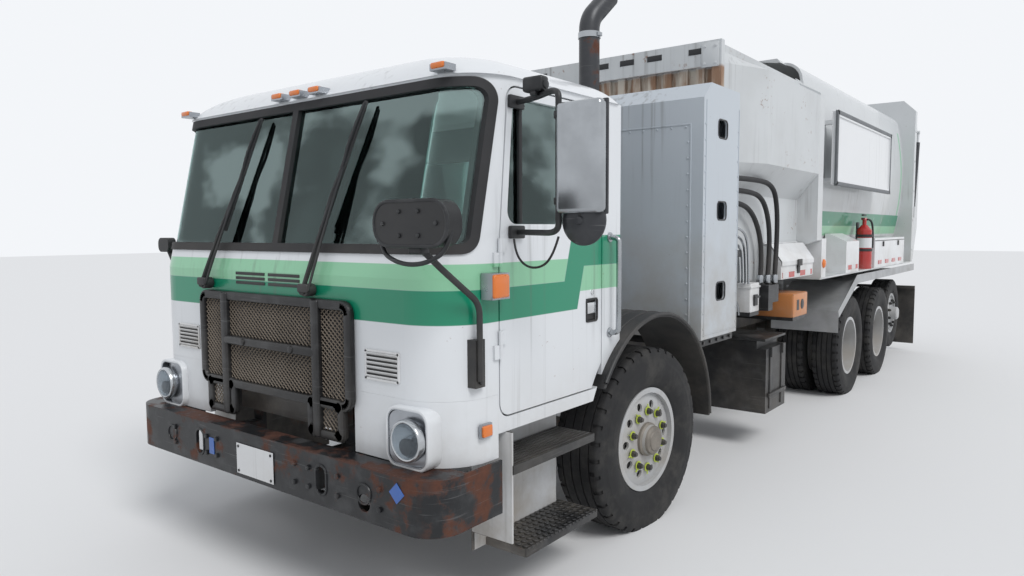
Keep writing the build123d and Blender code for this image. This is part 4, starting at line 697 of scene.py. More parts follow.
# %% [markdown]
# A truck tyre is a turned form: bead, bulged wall, shoulder and a flat tread. We extrude its outline point
# by point, with the tread's grooves in it, and spin it round the axle. The cross cuts in the shoulders are
# faces of every few steps round the wheel, pushed in. One tyre of each size is made, and the rest are copies.

# %% Tyres
groove_wide, groove_deep, cut_deep = 0.010, 0.013, 0.009
# Points of the outline, each a share of half the width and a height: above the rim in metres, above the
# rim as a share of the wall, and above the tread in metres
bead = ((0.70, -0.004), (0.74, 0.010), (0.80, 0.022), (0.86, 0.034), (0.87, 0.044))
bulge = ((0.93, 0.24), (0.990, 0.40), (1.0, 0.52), (0.985, 0.64), (0.985, 0.67), (0.965, 0.70), (0.95, 0.80))
shoulder = ((0.92, -0.026), (0.87, -0.008), (0.80, 0.0))


def tyre(width, radius, rim, centre, axis, grooves, cut_every=4, steps=144):
    """One tyre, its tread grooved round and cut across at the shoulders."""
    half = width / 2
    side = [(share * half, rim + up) for share, up in bead]
    side += [(share * half, rim + up * (radius - rim)) for share, up in bulge]
    side += [(share * half, radius + up) for share, up in shoulder]
    tread = []
    for groove in grooves:
        middle = groove * half
        tread += [(middle + groove_wide / 2, radius), (middle + groove_wide * 0.3, radius - groove_deep),
                  (middle - groove_wide * 0.3, radius - groove_deep), (middle - groove_wide / 2, radius)]
    piece = turned(side + tread + [(-a, r) for a, r in reversed(side)], centre, axis, steps)
    outer = abs(grooves[0]) * half + groove_wide

    def is_cut(face):
        place = face.calc_center_median()
        step = round(atan2(place.z, place.y) / (2 * pi) * steps)
        on_shoulder = outer < abs(place.x) < 0.94 * half and place.yz.length > radius - 0.03
        return on_shoulder and step % cut_every == 0

    bpy.ops.object.mode_set(mode="EDIT")
    pick("faces", is_cut)
    bpy.ops.mesh.extrude_region_shrink_fatten(TRANSFORM_OT_shrink_fatten={"value": -cut_deep})
    end_edit()
    return piece


def fit_tyre(name, parts, body, node):
    """Hand over a tyre that stands for a solid."""
    piece = hand_over(name, parts, "tyre rubber", body, 40)
    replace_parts(piece, node)


steer_rest = radians(-4.1)
king_to_wheel = 0.147
front_x, front_z = 1.027, 0.514
lean = king_to_wheel * sin(steer_rest)
front_axis = (cos(steer_rest), sin(steer_rest), 0)
front_centres = {name: Vector((side * front_x, side * lean, front_z)) for side, name in both_sides}
front = tyre(0.315, 0.538, 0.289, front_centres["left"], front_axis, (0.56, 0.19, -0.19, -0.56))
fit_tyre("tyre_front_left", front, "front_left_wheel", "front_left_tyre")
other = copied(front, front_centres["right"] - front_centres["left"])
fit_tyre("tyre_front_right", other, "front_right_wheel", "front_right_tyre")

drive_x, drive_half_space, drive_z = 0.893, 0.1715, 0.505
drive_rows = {"front": 4.477, "rear": 5.837}
first = Vector((drive_x + drive_half_space, drive_rows["front"], drive_z))
pattern = tyre(0.279, 0.527, 0.289, first, (1, 0, 0), (0.52, 0.18, -0.18, -0.52), 3, 120)
settle(pattern)
for row, y in drive_rows.items():
    for side, name in both_sides:
        places = [Vector((side * drive_x + space, y, drive_z)) for space in (-drive_half_space, drive_half_space)]
        fit_tyre(f"tyres_{row}_{name}", [copied(pattern, place - first) for place in places],
                 f"drive_{row}_{name}_wheels", f"drive_{row}_{name}_tyres")
bpy.data.objects.remove(pattern)

tag_x, tag_y, tag_z = 0.96, 7.158, 0.60
tag = tyre(0.245, 0.455, 0.252, (tag_x, tag_y, tag_z), (1, 0, 0), (0.5, 0.0, -0.5), 4, 120)
fit_tyre("tyre_tag_left", tag, "tag_left_wheel", "tag_left_tyre")
fit_tyre("tyre_tag_right", copied(tag, (-2 * tag_x, 0, 0)), "tag_right_wheel", "tag_right_tyre")
print("front tyre faces:", len(front.data.polygons))

# %% [markdown]
# Each wheel carries ten studs under black nut covers. On the steered wheels a yellow-green pointer at each
# nut shows when it has moved, and the hub's cap is black with a worn, rusty middle. The nuts are set round
# in a loop, and the hub's cap is turned.

# %% Wheel nuts and hubs
plain("nut cover", (0.020, 0.021, 0.022, 1), 0.4, dust_amount=0.2)
plain("pointer yellow", (0.50, 0.60, 0.06, 1), 0.5, dust_amount=0.1)
bolt_circle, nut_count = 0.1675, 10
front_face, drive_face, tag_face = 0.118, 0.0145, 0.0985
pointer_ring = [(0, 0.019), (0, 0.027), (0.004, 0.027), (0.004, 0.019), (0, 0.019)]
hub_profile = [(0.0, 0.098), (0.016, 0.098), (0.020, 0.092), (0.026, 0.086), (0.050, 0.083), (0.056, 0.078),
               (0.060, 0.060), (0.066, 0.056), (0.067, 0.0)]


def wheel_nuts(name, centre, axis, face, body, pointers=True):
    """Ten nuts round a wheel's face, which lies at a distance out from the wheel's middle."""
    out = Vector(axis).normalized()
    foot = Vector(centre) + out * face
    up = Vector((0, 0, 1))
    across = out.cross(up)
    covers, rings = [], []
    for k in range(nut_count):
        angle = 2 * pi * (k + 0.5) / nut_count
        spoke = across * cos(angle) + up * sin(angle)
        spot = foot + spoke * bolt_circle
        covers.append(drum(spot + out * 0.014, 0.0185, 0.028, out, 6, 0.003))
        covers.append(drum(spot + out * 0.032, 0.0125, 0.014, out, 12, 0.004))
        if pointers:
            rings.append(turned(pointer_ring, spot + out * 0.006, out, 16))
            rings.append(block(spot + out * 0.008 + spoke * 0.033, (0.018, 0.010, 0.004), 0.001, 1,
                               spoke.to_track_quat("X", "Z").to_euler()))
    hand_over(f"nuts_{name}", covers, "nut cover", body)
    if pointers:
        hand_over(f"pointers_{name}", rings, "pointer yellow", body)


for side, name in both_sides:
    axis = Vector(front_axis) * side
    wheel_nuts(f"front_{name}", front_centres[name], axis, front_face, f"front_{name}_wheel")
    cap = turned(hub_profile, front_centres[name] + axis * (front_face + 0.0005), axis, 40)
    hand_over(f"hub_cap_front_{name}", cap, "cast iron", f"front_{name}_wheel")
    for row, y in drive_rows.items():
        wheel_nuts(f"drive_{row}_{name}", (side * drive_x, y, drive_z), (side, 0, 0), drive_face,
                   f"drive_{row}_{name}_wheels", False)
    wheel_nuts(f"tag_{name}", (side * tag_x, tag_y, tag_z), (side, 0, 0), tag_face, f"tag_{name}_wheel", False)
print("wheels dressed")

# %% [markdown]
# Three hydraulic hoses run back from the gas tank enclosure and bend down to a valve block. Each is a
# curve with a round section, laid along the same control points as the solid it stands for, with a
# crimped fitting at each end. The cable of the mirror's heater is made the same way: it sags from the
# door's front edge to the mirror's tube.

# %% Hoses and the mirror's cable
def cord(name, points, diameter, corners, start, length, body, **more):
    """A cord that hangs from its start, a place in the frame, to its other end; start is not used."""
    piece = curve(name, points, diameter / 2, corners, 12, False)
    dress(piece, "rubber")
    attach(piece, body)
    return piece


# Each hose: its x, its length, and its control points as y and z
hose_routes = (
    (1.172, 1.6381, ((1.1565, 2.095), (1.600, 2.108), (2.010, 2.085), (2.118, 1.900), (2.120, 1.610), (2.080, 1.304))),
    (1.138, 1.4377, ((1.1565, 2.015), (1.540, 2.022), (1.870, 1.985), (2.030, 1.800), (2.055, 1.540), (2.012, 1.304))),
    (1.104, 1.2331, ((1.1565, 1.935), (1.440, 1.938), (1.720, 1.885), (1.910, 1.725), (1.980, 1.510), (1.945, 1.304))))
for k, (x, length, route) in enumerate(hose_routes):
    points = [Vector((x, y, z)) for y, z in route]
    ends = [drum(points[0] + Vector((0, 0.035, 0)), 0.026, 0.066, (0, 1, 0), 20, 0.004),
            drum(points[0] + Vector((0, 0.012, 0)), 0.032, 0.024, (0, 1, 0), 6, 0.003),
            drum(points[-1] + Vector((0, 0, 0.040)), 0.026, 0.066, (0, 0, 1), 20, 0.004)]
    fitting = hand_over(f"hose_fitting_{k}", ends, "stainless")
    hose = cord(f"hose_{k}", points, 0.038, 4, from_axle(points[0]), length, "chassis", stiffness="stiff",
                lay="taut", with_pieces=[fitting])
    if k == 0:
        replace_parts(hose, "hoses")

cable_route = ((1.196, -1.345, 1.700), (1.215, -1.360, 1.635), (1.300, -1.390, 1.580), (1.420, -1.440, 1.590),
               (1.490, -1.468, 1.650), (1.5125, -1.470, 1.712))
x, y, z = cable_route[0]
cord("mirror_cable", cable_route, 0.010, 3, (x, front_axle_y + y, z), 0.4529, "left_door",
     stiffness="medium", lay="loose")

# %% [markdown]
# The grille is a black frame with rounded corners over a sheet of expanded metal. For the mesh we take a
# grid, poke each cell and dissolve the grid's own edges, which leaves diamonds, and give their edges
# thickness with a wireframe modifier. The frame is a rounded plane, inset, hollowed and pulled out.

# %% Grille
def upright(add, centre, width, height, **cells):
    """A flat primitive that faces forwards, at its width and height and open for editing."""
    bpy.ops.object.select_all(action="DESELECT")
    add(size=1, location=from_axle(centre), rotation=(pi / 2, 0, 0), **cells)
    bpy.context.active_object.scale = (width, height, 1)
    bpy.ops.object.transform_apply(location=False, rotation=False, scale=True)
    start_edit()


def ring(centre, width, height, bar, depth, corner, bevel=0.006, turn=0.0):
    """A rounded frame that faces forwards, or is turned about the vertical, with its front face at centre."""
    upright(bpy.ops.mesh.primitive_plane_add, centre, width, height)
    bpy.ops.mesh.bevel(offset=corner, segments=6, affect="VERTICES")
    bpy.ops.mesh.select_all(action="SELECT")
    bpy.ops.mesh.inset(thickness=bar)
    bpy.ops.mesh.delete(type="FACE")
    bpy.ops.mesh.select_all(action="SELECT")
    bpy.ops.mesh.extrude_region_move(TRANSFORM_OT_translate={"value": (0, depth, 0)})
    bpy.ops.mesh.select_all(action="SELECT")
    bpy.ops.mesh.normals_make_consistent(inside=False)
    bpy.ops.mesh.select_all(action="DESELECT")
    bpy.ops.mesh.edges_select_sharp(sharpness=radians(60))
    bpy.ops.mesh.bevel(offset=bevel, segments=2, affect="EDGES")
    piece = end_edit()
    piece.rotation_euler = (pi / 2, 0, turn)
    return piece


def is_grid_line(edge):
    """True for the grid's own inner edges, which run level or upright."""
    run = edge.verts[1].co - edge.verts[0].co
    return min(abs(run.x), abs(run.y)) < 1e-6 and len(edge.link_faces) == 2


def expanded_metal(centre, width, height, cells_x, cells_z):
    """A sheet of diamond mesh that faces forwards."""
    upright(bpy.ops.mesh.primitive_grid_add, centre, width, height, x_subdivisions=cells_x,
            y_subdivisions=cells_z)
    bpy.ops.mesh.poke()
    bpy.ops.mesh.select_all(action="DESELECT")
    pick("edges", is_grid_line)
    bpy.ops.mesh.dissolve_edges(use_verts=False)
    piece = end_edit()
    thickness = piece.modifiers.new("wire", "WIREFRAME")
    thickness.thickness = 0.0075
    thickness.use_even_offset = False
    bpy.ops.object.modifier_apply(modifier="wire")
    return piece


plain("mesh metal", (0.20, 0.165, 0.13, 1), 0.55, 0.35, 0.5, 40.0)
black_steel("grille black", 0.12, (0.1, 1.6), 0.2, (0.012, 0.012, 0.013, 1))
grille_y, grille_z, leg_x, leg_z = -1.776, 1.183, 0.430, 0.886
frame_parts = [ring((0, grille_y, grille_z), 1.236, 0.500, 0.046, 0.034, 0.062, 0.011),
               block((0, grille_y + 0.010, grille_z), (0.76, 0.040, 0.046), 0.014)]
sheets = [expanded_metal((0, grille_y + 0.020, grille_z), 1.17, 0.43, 40, 18)]
for side in (-1, 1):
    frame_parts.append(block((side * 0.375, grille_y + 0.012, 1.110), (0.052, 0.042, 0.640), 0.012))
    frame_parts.append(ring((side * leg_x, grille_y, leg_z), 0.262, 0.196, 0.044, 0.034, 0.035, 0.010))
    frame_parts.append(drum((side * 0.20, grille_y - 0.006, grille_z), 0.018, 0.02, (0, -1, 0), 20, 0.004))
    sheets.append(expanded_metal((side * leg_x, grille_y + 0.020, leg_z), 0.20, 0.13, 7, 5))
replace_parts(hand_over("grille_frame", frame_parts, "grille black"), "grille")
grille_mesh = hand_over("grille_mesh", sheets, "mesh metal", smooth_angle=0)
# A black sheet behind the mesh: painted shade of the space behind the grille.
shade_sheet = block((0, grille_y + 0.030, grille_z), (1.19, 0.004, 0.45), 0.001, 1)
hand_over("grille_shade_sheet", shade_sheet, "trim black")
print("mesh faces", len(grille_mesh.data.polygons))

# %% [markdown]
# A headlamp is a chromed bowl with a dark projector behind a domed lens, held by a ring, in a white pod
# with a bright dish. Bowl and lens are turned, and the bowl and its ring are one outline. The lens is a
# thin shell with its own finish, mixed as the window glass is. Turn lamps and markers are amber blocks.

# %% Lamps
def lens_glass(name, colour, clear):
    """A ribbed lens: partly see-through, glossy at a glance."""
    finish = Finish(name)
    ribs = finish.x.to_and_fro(0.006) * 60
    through = finish.node("ShaderNodeBsdfTransparent", sockets={"Color": (0.9, 0.93, 0.95, 1)})
    relief = finish.bump(ribs + finish.noise(30.0, 2.0) * 0.3, 0.5, 0.002)
    shine = finish.principled(Base_Color=colour, Roughness=0.12, Coat_Weight=0.6, Normal=relief)
    edge_on = finish.node("ShaderNodeLayerWeight", sockets={"Blend": 0.5}, out=1) ** 4
    share = (edge_on + 0.04 + (1 - clear) + finish.noise(5.0, 4.0) * 0.08).smaller(1.0)
    finish.end(finish.mix_shaders(share, through, shine))


lens_glass("clear lens", (0.30, 0.34, 0.38, 1), 0.95)
lens_glass("amber lens", (0.72, 0.17, 0.012, 1), 0.0)
lens_glass("red lens", (0.50, 0.02, 0.015, 1), 0.0)
plain("lamp bowl", (0.52, 0.54, 0.56, 1), 0.16, 0.9, 0.1, 30.0, 0.05)

lamp_x, lamp_z, pod_x = 0.980, 0.880, 0.955
roof_markers_x = (-1.000, -0.116, 0.033, 0.182, 1.000)
bowl = [(0.0, 0.0), (0.0, 0.090), (0.020, 0.090), (0.028, 0.086), (0.031, 0.080), (0.028, 0.0745), (0.016, 0.064),
        (0.008, 0.044), (0.003, 0.020), (0.002, 0.014), (0.014, 0.013), (0.016, 0.008), (0.016, 0.0)]
dome = [(0.033, 0.0), (0.032, 0.030), (0.029, 0.055), (0.0265, 0.0735), (0.029, 0.0740), (0.0325, 0.056),
        (0.0355, 0.030), (0.0365, 0.0)]
for side, name in both_sides:
    face = (side * lamp_x, -1.7745, lamp_z)
    hand_over(f"headlamp_{name}", turned(bowl, face, (0, -1, 0)), "lamp bowl")
    hand_over(f"headlamp_lens_{name}", turned(dome, face, (0, -1, 0)), "clear lens")
    projector = drum((side * lamp_x, -1.790, 0.856), 0.036, 0.022, (0, -1, 0), 32, 0.003)
    hand_over(f"headlamp_projector_{name}", projector, "trim black")
    pod = ring((side * pod_x, -1.770, lamp_z), 0.252, 0.262, 0.015, 0.086, 0.062)
    hand_over(f"headlamp_pod_{name}", pod, "cab paint")
    dish_wall = ring((side * pod_x, -1.768, lamp_z), 0.226, 0.236, 0.005, 0.080, 0.052, 0.001)
    hand_over(f"headlamp_dish_{name}", dish_wall, "bezel")
    turn_lens = block((side * 1.216, -1.487, 1.5075), (0.060, 0.104, 0.100), 0.012)
    hand_over(f"turn_lens_{name}", turn_lens, "amber lens")
    marker = block((side * 1.187, -1.525, 0.898), (0.018, 0.060, 0.048), 0.006)
    hand_over(f"side_marker_{name}", marker, "amber lens")
markers = [block((x, -1.592, 2.418), (0.076, 0.036, 0.026), 0.009) for x in roof_markers_x]
hand_over("roof_markers", markers, "amber lens")

# %% [markdown]
# The door mirrors are tall stainless shells with a flat glass behind, on a bent tube that stands off the
# door, and a round convex mirror hangs below each. The shell is a block whose front face is drawn in
# before all its edges are rounded, so it is D-shaped in plan. A small camera sits by the left one.

# %% Door mirrors
plain("mirror glass", (0.62, 0.66, 0.68, 1), 0.03, 1.0, 0.1, 20.0, 0.01)
mirror_x, mirror_z, tube_x, base_y = 1.615, 2.0125, 1.5125, -1.310
dish_profile = [(-0.004, 0.0), (-0.004, 0.092), (0.0, 0.098), (0.008, 0.098), (0.018, 0.085), (0.030, 0.050),
                (0.034, 0.018), (0.042, 0.014), (0.044, 0.0)]
for side, name, head_y in ((1, "left", -1.440), (-1, "right", -1.020)):
    x, tube_y, door = side * mirror_x, head_y - 0.030, f"{name}_door"
    shell = block((x, tube_y, mirror_z), (0.205, 0.060, 0.425))
    bpy.ops.object.mode_set(mode="EDIT")
    pick("faces", lambda face: face.normal.y < -0.5)
    bpy.ops.transform.resize(value=(0.62, 1, 0.93), center_override=from_axle((x, head_y, mirror_z)))
    bpy.ops.mesh.select_all(action="SELECT")
    bpy.ops.mesh.bevel(offset=0.022, segments=5, affect="EDGES")
    end_edit()
    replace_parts(hand_over(f"mirror_shell_{name}", shell, "stainless", door), f"mirrors_{name}")
    pane = block((x, head_y + 0.001, mirror_z), (0.180, 0.006, 0.400), 0.002, 2)
    hand_over(f"mirror_pane_{name}", pane, "mirror glass", door)
    tube = [(side * 1.186, base_y, 1.730), (side * 1.30, base_y - 0.02, 1.728)]
    tube += [(side * tube_x, tube_y, z) for z in (1.726, 1.80, 2.21, 2.286)]
    tube += [(side * 1.30, base_y - 0.02, 2.286), (side * 1.186, base_y, 2.285)]
    arms = [rod(tube, 0.0125, 6), drum((x, tube_y, 1.802), 0.010, 0.05, (0, 0, 1), 12, 0.002)]
    for clamp_z, foot_z in ((1.85, 1.730), (2.18, 2.285)):
        arms += blocks((side * (tube_x + 0.012), tube_y, clamp_z, 0.050, 0.034, 0.030, 0.004, 2),
                       (side * 1.184, base_y, foot_z, 0.020, 0.100, 0.056, 0.006, 2))
    hand_over(f"mirror_arms_{name}", arms, "black plastic", door)
    round_mirror = [turned(dish_profile, (x, head_y - 0.004, 1.775), (0, -1, 0), 40),
                    block((x, head_y - 0.004, mirror_z), (0.210, 0.014, 0.430), 0.005, 2)]
    hand_over(f"mirror_round_{name}", round_mirror, "dark steel", door)
camera_parts = blocks((1.340, -1.385, 2.330, 0.100, 0.055, 0.062, 0.012),
                      (1.340, -1.375, 2.296, 0.030, 0.060, 0.024, 0.004, 2))
camera_parts.append(drum((1.392, -1.385, 2.325), 0.018, 0.012, (1, 0, 0), 24, 0.004))
hand_over("mirror_camera", camera_parts, "trim black", "left_door")

# %% [markdown]
# The door has a chrome paddle in a black recess and a lock above it, and a rubber divider stands in its
# window. The cab has a long grab handle behind the door: a curve with round feet.

# %% Door furniture
handle_y, handle_z = -0.675, 1.334
grab_y, grab_low, grab_high = -0.50, 1.200, 1.700
grab_bend = ((1.172, grab_high), (1.225, grab_high), (1.228, 1.660), (1.228, 1.240), (1.225, grab_low),
             (1.172, grab_low))
for side, name in both_sides:
    door = f"{name}_door"
    recess = ring((side * 1.177, handle_y, handle_z), 0.112, 0.122, 0.010, 0.006, 0.018, 0.002, side * pi / 2)
    hand_over(f"recess_{name}", recess, "black plastic", door)
    recess_back = block((side * 1.160, handle_y, handle_z), (0.004, 0.104, 0.114), 0.001, 1)
    hand_over(f"recess_back_{name}", recess_back, "black plastic", door)
    handle = [block((side * 1.171, -0.678, 1.345), (0.012, 0.078, 0.058), 0.005),
              drum((side * 1.1735, -0.672, 1.425), 0.014, 0.008, (side, 0, 0), 20, 0.002)]
    hand_over(f"door_handle_{name}", handle, "chrome", door)
    grab = [rod([(side * x, grab_y, z) for x, z in grab_bend], 0.014, 6)]
    for z in (grab_low, grab_high):
        grab.append(drum((side * 1.175, grab_y, z), 0.026, 0.008, (side, 0, 0), 24, 0.002))
    hand_over(f"grab_handle_{name}", grab, "stainless")
    divider = block((side * 1.158, -1.255, 2.036), (0.016, 0.024, 0.536), 0.004, 2)
    hand_over(f"window_divider_{name}", divider, "rubber", door)
print("cab furniture placed")

# %% [markdown]
# Small fittings on the cab's front: two sets of vent slots under the windshield, pressed louvres above the
# headlamps, and on the bumper a blank plate, bolt heads and the folded lips of its slots. Long rows are
# made with array modifiers from one small piece.

# %% Front fittings
def in_rows(piece, first_count, first_step, second_count=1, second_step=(0, 0, 0)):
    """Repeat a piece in one or two directions."""
    settle(piece)
    for count, step in ((first_count, first_step), (second_count, second_step)):
        if count > 1:
            row = piece.modifiers.new("row", "ARRAY")
            row.count = count
            row.use_relative_offset = False
            row.use_constant_offset = True
            row.constant_offset_displace = step
            bpy.ops.object.modifier_apply(modifier="row")
    return piece


paint("plate white", (0.70, 0.71, 0.72, 1), 0.35, dust=(0.3, 1.0), dust_amount=0.35, chips=0.3)
paint("label blue", (0.02, 0.11, 0.42, 1), 0.4, dust=(0.3, 1.0), dust_amount=0.2, chips=0.2)
louvre_x, louvre_z, bumper_face = 0.788, 1.162, -1.860
plate_bolts = [(x, z) for z in (0.680, 0.558) for x in (-0.135, 0.135)]
bumper_bolts = [(x, z) for x in (-0.754, -0.435, -0.341, 0.314, 0.417, 0.620, 0.890) for z in (0.592, 0.678)]
# The vent slots are black bars: painted shade inside the openings.
slots = [in_rows(block((x, -1.7412, 1.480), (0.252, 0.006, 0.015), 0.0028, 2), 3, (0, 0, 0.0235))
         for x in (-0.182, 0.099)]
hand_over("vent_slots", slots, "black plastic")
for side, name in both_sides:
    slat = block((side * louvre_x, -1.745, 1.112), (0.196, 0.004, 0.018), 0.0012, 1, (0.75, 0, 0))
    louvre = [ring((side * louvre_x, -1.748, louvre_z), 0.216, 0.134, 0.011, 0.008, 0.010, 0.002),
              in_rows(slat, 6, (0, 0, 0.0198))]
    hand_over(f"louvre_{name}", louvre, "box paint")
    # A black plate behind the slats: painted shade between them.
    louvre_shade = block((side * louvre_x, -1.7410, louvre_z), (0.196, 0.003, 0.114), 0.001, 1)
    hand_over(f"louvre_shade_{name}", louvre_shade, "black plastic")

plate = block((0.0, bumper_face - 0.005, 0.619), (0.305, 0.003, 0.152), 0.001, 1)
hand_over("plate_blank", plate, "plate white")
fittings = [drum((x, bumper_face - 0.008, z), 0.007, 0.004, (0, -1, 0), 12, 0.001) for x, z in plate_bolts]
fittings += [drum((x, bumper_face - 0.005, z), 0.013, 0.012, (0, -1, 0), 6, 0.002) for x, z in bumper_bolts]
for side in (-1, 1):
    fittings.append(ring((side * 0.505, bumper_face - 0.004, 0.638), 0.086, 0.146, 0.012, 0.006, 0.042, 0.002))
    fittings.append(turned([(0.0, 0.037), (0.004, 0.038), (0.005, 0.046), (0.0, 0.048)],
                           (side * 0.790, bumper_face - 0.001, 0.638), (0, -1, 0), 32))
hand_over("bumper_fittings", fittings, "bumper black")
labels = [block((0.992, bumper_face - 0.0025, 0.683), (0.062, 0.003, 0.062), 0.0008, 1, (0, radians(45), 0)),
          block((-0.388, bumper_face - 0.0025, 0.635), (0.045, 0.003, 0.085), 0.0008, 1)]
hand_over("labels_blank", labels, "label blue")

# %% [markdown]
# The wipers are long double arms with a bowed blade. The solids carry plain rods there; round them we add
# the flat arms, the blade's bow and its rubber, laid up the slope of the windshield.

# %% Wipers
def on_front(x, z, out):
    """A place before the cab's front face, which is upright to the belt and then leans back."""
    return Vector((x, cab_front + max(0.0, z - belt_height) * windshield_lean - out, z))


arm_bow, blade_bow, second_arm = Vector((0, -0.012, 0)), Vector((0, -0.018, 0)), Vector((0.045, 0, 0))
for k, (x, tip_x) in enumerate(((-0.545, -0.330), (0.321, 0.480))):
    foot = on_front(x, 1.470, 0.060)
    joint = on_front(tip_x - 0.020, 2.030, 0.030)
    low = on_front(tip_x - 0.100, 1.750, 0.030)
    high = on_front(tip_x + 0.065, 2.315, 0.030)
    middle = foot.lerp(joint, 0.5) + arm_bow
    parts = [rod((foot, middle, joint), 0.0075),
             rod((foot + second_arm, middle + second_arm * 0.6, joint + second_arm * 0.1), 0.0065),
             rod((low, low.lerp(high, 0.25) + blade_bow, joint, low.lerp(high, 0.75) + blade_bow, high), 0.0075),
             block(low.lerp(high, 0.5) + Vector((0, 0.008, 0)), (0.014, 0.018, (high - low).length * 1.03),
                   0.004, 2, (high - low).to_track_quat("Z", "Y").to_euler()),
             drum(foot + Vector((0.01, 0.028, 0)), 0.030, 0.052, (0, -1, 0), 24, 0.006),
             block(foot + Vector((0.012, 0.0, 0.01)), (0.075, 0.022, 0.040), 0.008)]
    hand_over(f"wiper_{k}", parts, "black plastic")

# %% [markdown]
# The spot mirror at the left front corner is a broad flat head on a bent arm. Its back has a raised rim
# and six bolts, a wire guard hangs round its lower edge, and the arm stands on a plate bolted to the cab.

# %% Spot mirrors
head = Vector((1.155, -1.890, 1.765))
head_bolts = ((-0.14, 0.0), (0.14, 0.0), (-0.05, 0.045), (0.05, 0.045), (-0.05, -0.045), (0.05, -0.045))
guard = ((-0.185, 0.0, 0.02), (-0.19, -0.02, -0.10), (-0.06, -0.03, -0.155), (0.08, -0.03, -0.150),
         (0.19, -0.02, -0.09), (0.185, 0.0, 0.02))
parts = [ring(head + Vector((0, -0.043, 0)), 0.396, 0.182, 0.014, 0.012, 0.082, 0.004),
         rod([head + Vector(point) for point in guard], 0.009, 4),
         block(head + Vector((0.0, 0.01, -0.098)), (0.070, 0.050, 0.034), 0.008)]
parts += [drum(head + Vector((x, -0.043, z)), 0.009, 0.008, (0, -1, 0), 6, 0.002) for x, z in head_bolts]
parts += [drum((1.196, -1.570, z), 0.012, 0.012, (1, 0, 0), 6, 0.002) for z in (1.115, 1.265)]
hand_over("spot_fittings", parts, "trim black")

# %% [markdown]
# The step wells are a greyer white inside than the cab, with heavy dust and streaks, and have a ribbed upper
# tread and a studded lower one. The front fenders carry four ribs along their arch and a rolled outer edge, all swept
# rods.

# %% Steps and front fenders
paint("step white", (0.62, 0.63, 0.64, 1), 0.45, dust=(0.2, 1.2), dust_amount=0.95, streaks=0.5)
arch_from, arch_sweep, arch_points = -54, 143, 24
arch_angles = [radians(arch_from + arch_sweep * k / (arch_points - 1)) for k in range(arch_points)]
# Each rod of an arch: its x, its radius round the front wheel's middle, and its thickness
arch_rods = [(x, 0.744, 0.007) for x in (0.875, 0.960, 1.045, 1.130)] + [(1.212, 0.740, 0.012)]
for side, name in both_sides:
    walls = blocks((side * 0.9685, -1.030, 0.562, 0.004, 0.660, 0.590, 0.001, 1),
                   (side * 1.083, -1.369, 0.608, 0.236, 0.012, 0.500, 0.003, 2))
    hand_over(f"step_panels_{name}", walls, "step white")
    rib = block((side * 0.985, -1.036, 0.711), (0.010, 0.640, 0.008), 0.003, 2)
    stud = drum((side * 0.990, -1.255, 0.305), 0.015, 0.008, (0, 0, 1), 10, 0.003, 1)
    tooth = block((side * 1.2095, -1.265, 0.303), (0.008, 0.014, 0.012), 0.003, 1)
    treads = [in_rows(rib, 9, (side * 0.0245, 0, 0)), in_rows(tooth, 20, (0, 0.0305, 0)),
              in_rows(stud, 6, (side * 0.0385, 0, 0), 15, (0, 0.0395, 0))]
    treads += blocks((side * 1.203, -1.036, 0.690, 0.012, 0.670, 0.042, 0.004, 2),
                     (side * 1.203, -0.976, 0.286, 0.012, 0.610, 0.042, 0.004, 2))
    hand_over(f"treads_{name}", treads, "trim black")
    arches = [rod([(side * x, radius * sin(angle), front_z + radius * cos(angle)) for angle in arch_angles], thick)
              for x, radius, thick in arch_rods]
    hand_over(f"fender_ribs_{name}", arches, "black plastic")
print("front done")

# %% [markdown]
# The gas tank enclosure is sheet aluminium on a frame, so its panels show as seams with rows of rivets,
# and rubber edges each round side hole. A black cradle carries it on the chassis rails.

# %% Gas tank enclosure
enclosure_front, enclosure_side = 0.5625, 1.2215


def rivets(start, count, step, face):
    """A row of domed rivets on a wall that faces along an axis."""
    return in_rows(drum(start, 0.007, 0.006, face, 10, 0.003), count, step)


seams = [block((0, enclosure_front, 2.403), (2.270, 0.004, 0.010), 0.001, 1),
         rivets((-1.10, enclosure_front - 0.001, 2.385), 23, (0.1, 0, 0), (0, -1, 0))]
edges = []
for side in (-1, 1):
    seams += blocks((side * 1.133, enclosure_front, 1.720, 0.010, 0.004, 1.360, 0.001, 1),
                    (side * enclosure_side, 0.862, 1.060, 0.004, 0.560, 0.006, 0.001, 1))
    seams.append(rivets((side * 1.115, enclosure_front - 0.001, 1.090), 13, (0, 0, 0.1), (0, -1, 0)))
    for y in (0.590, 1.134):
        seams.append(block((side * enclosure_side, y + 0.014, 1.800), (0.004, 0.006, 1.500), 0.001, 1))
        seams.append(rivets((side * enclosure_side, y, 1.100), 14, (0, 0, 0.1), (side, 0, 0)))
    edges += [ring((side * 1.223, 0.868, z), 0.164, 0.129, 0.010, 0.006, 0.036, 0.002, side * pi / 2)
              for z in (2.392, 1.860, 1.330)]
    edges.append(block((side * 0.830, 0.860, 1.002), (0.740, 0.560, 0.048), 0.004, 2))
    cradle_bolt = drum((side * 1.204, 0.640, 1.002), 0.012, 0.012, (side, 0, 0), 6, 0.002)
    edges.append(in_rows(cradle_bolt, 5, (0, 0.11, 0)))
hand_over("enclosure_seams", seams, "enclosure paint")
hand_over("enclosure_edges", edges, "trim black")

# %% [markdown]
# Behind the enclosure, low on the chassis, sit a white latched box, an orange chock box, the battery box's
# lid and straps, and the valves and pipes of the gas and hydraulic systems. The exhaust stack has clamps.

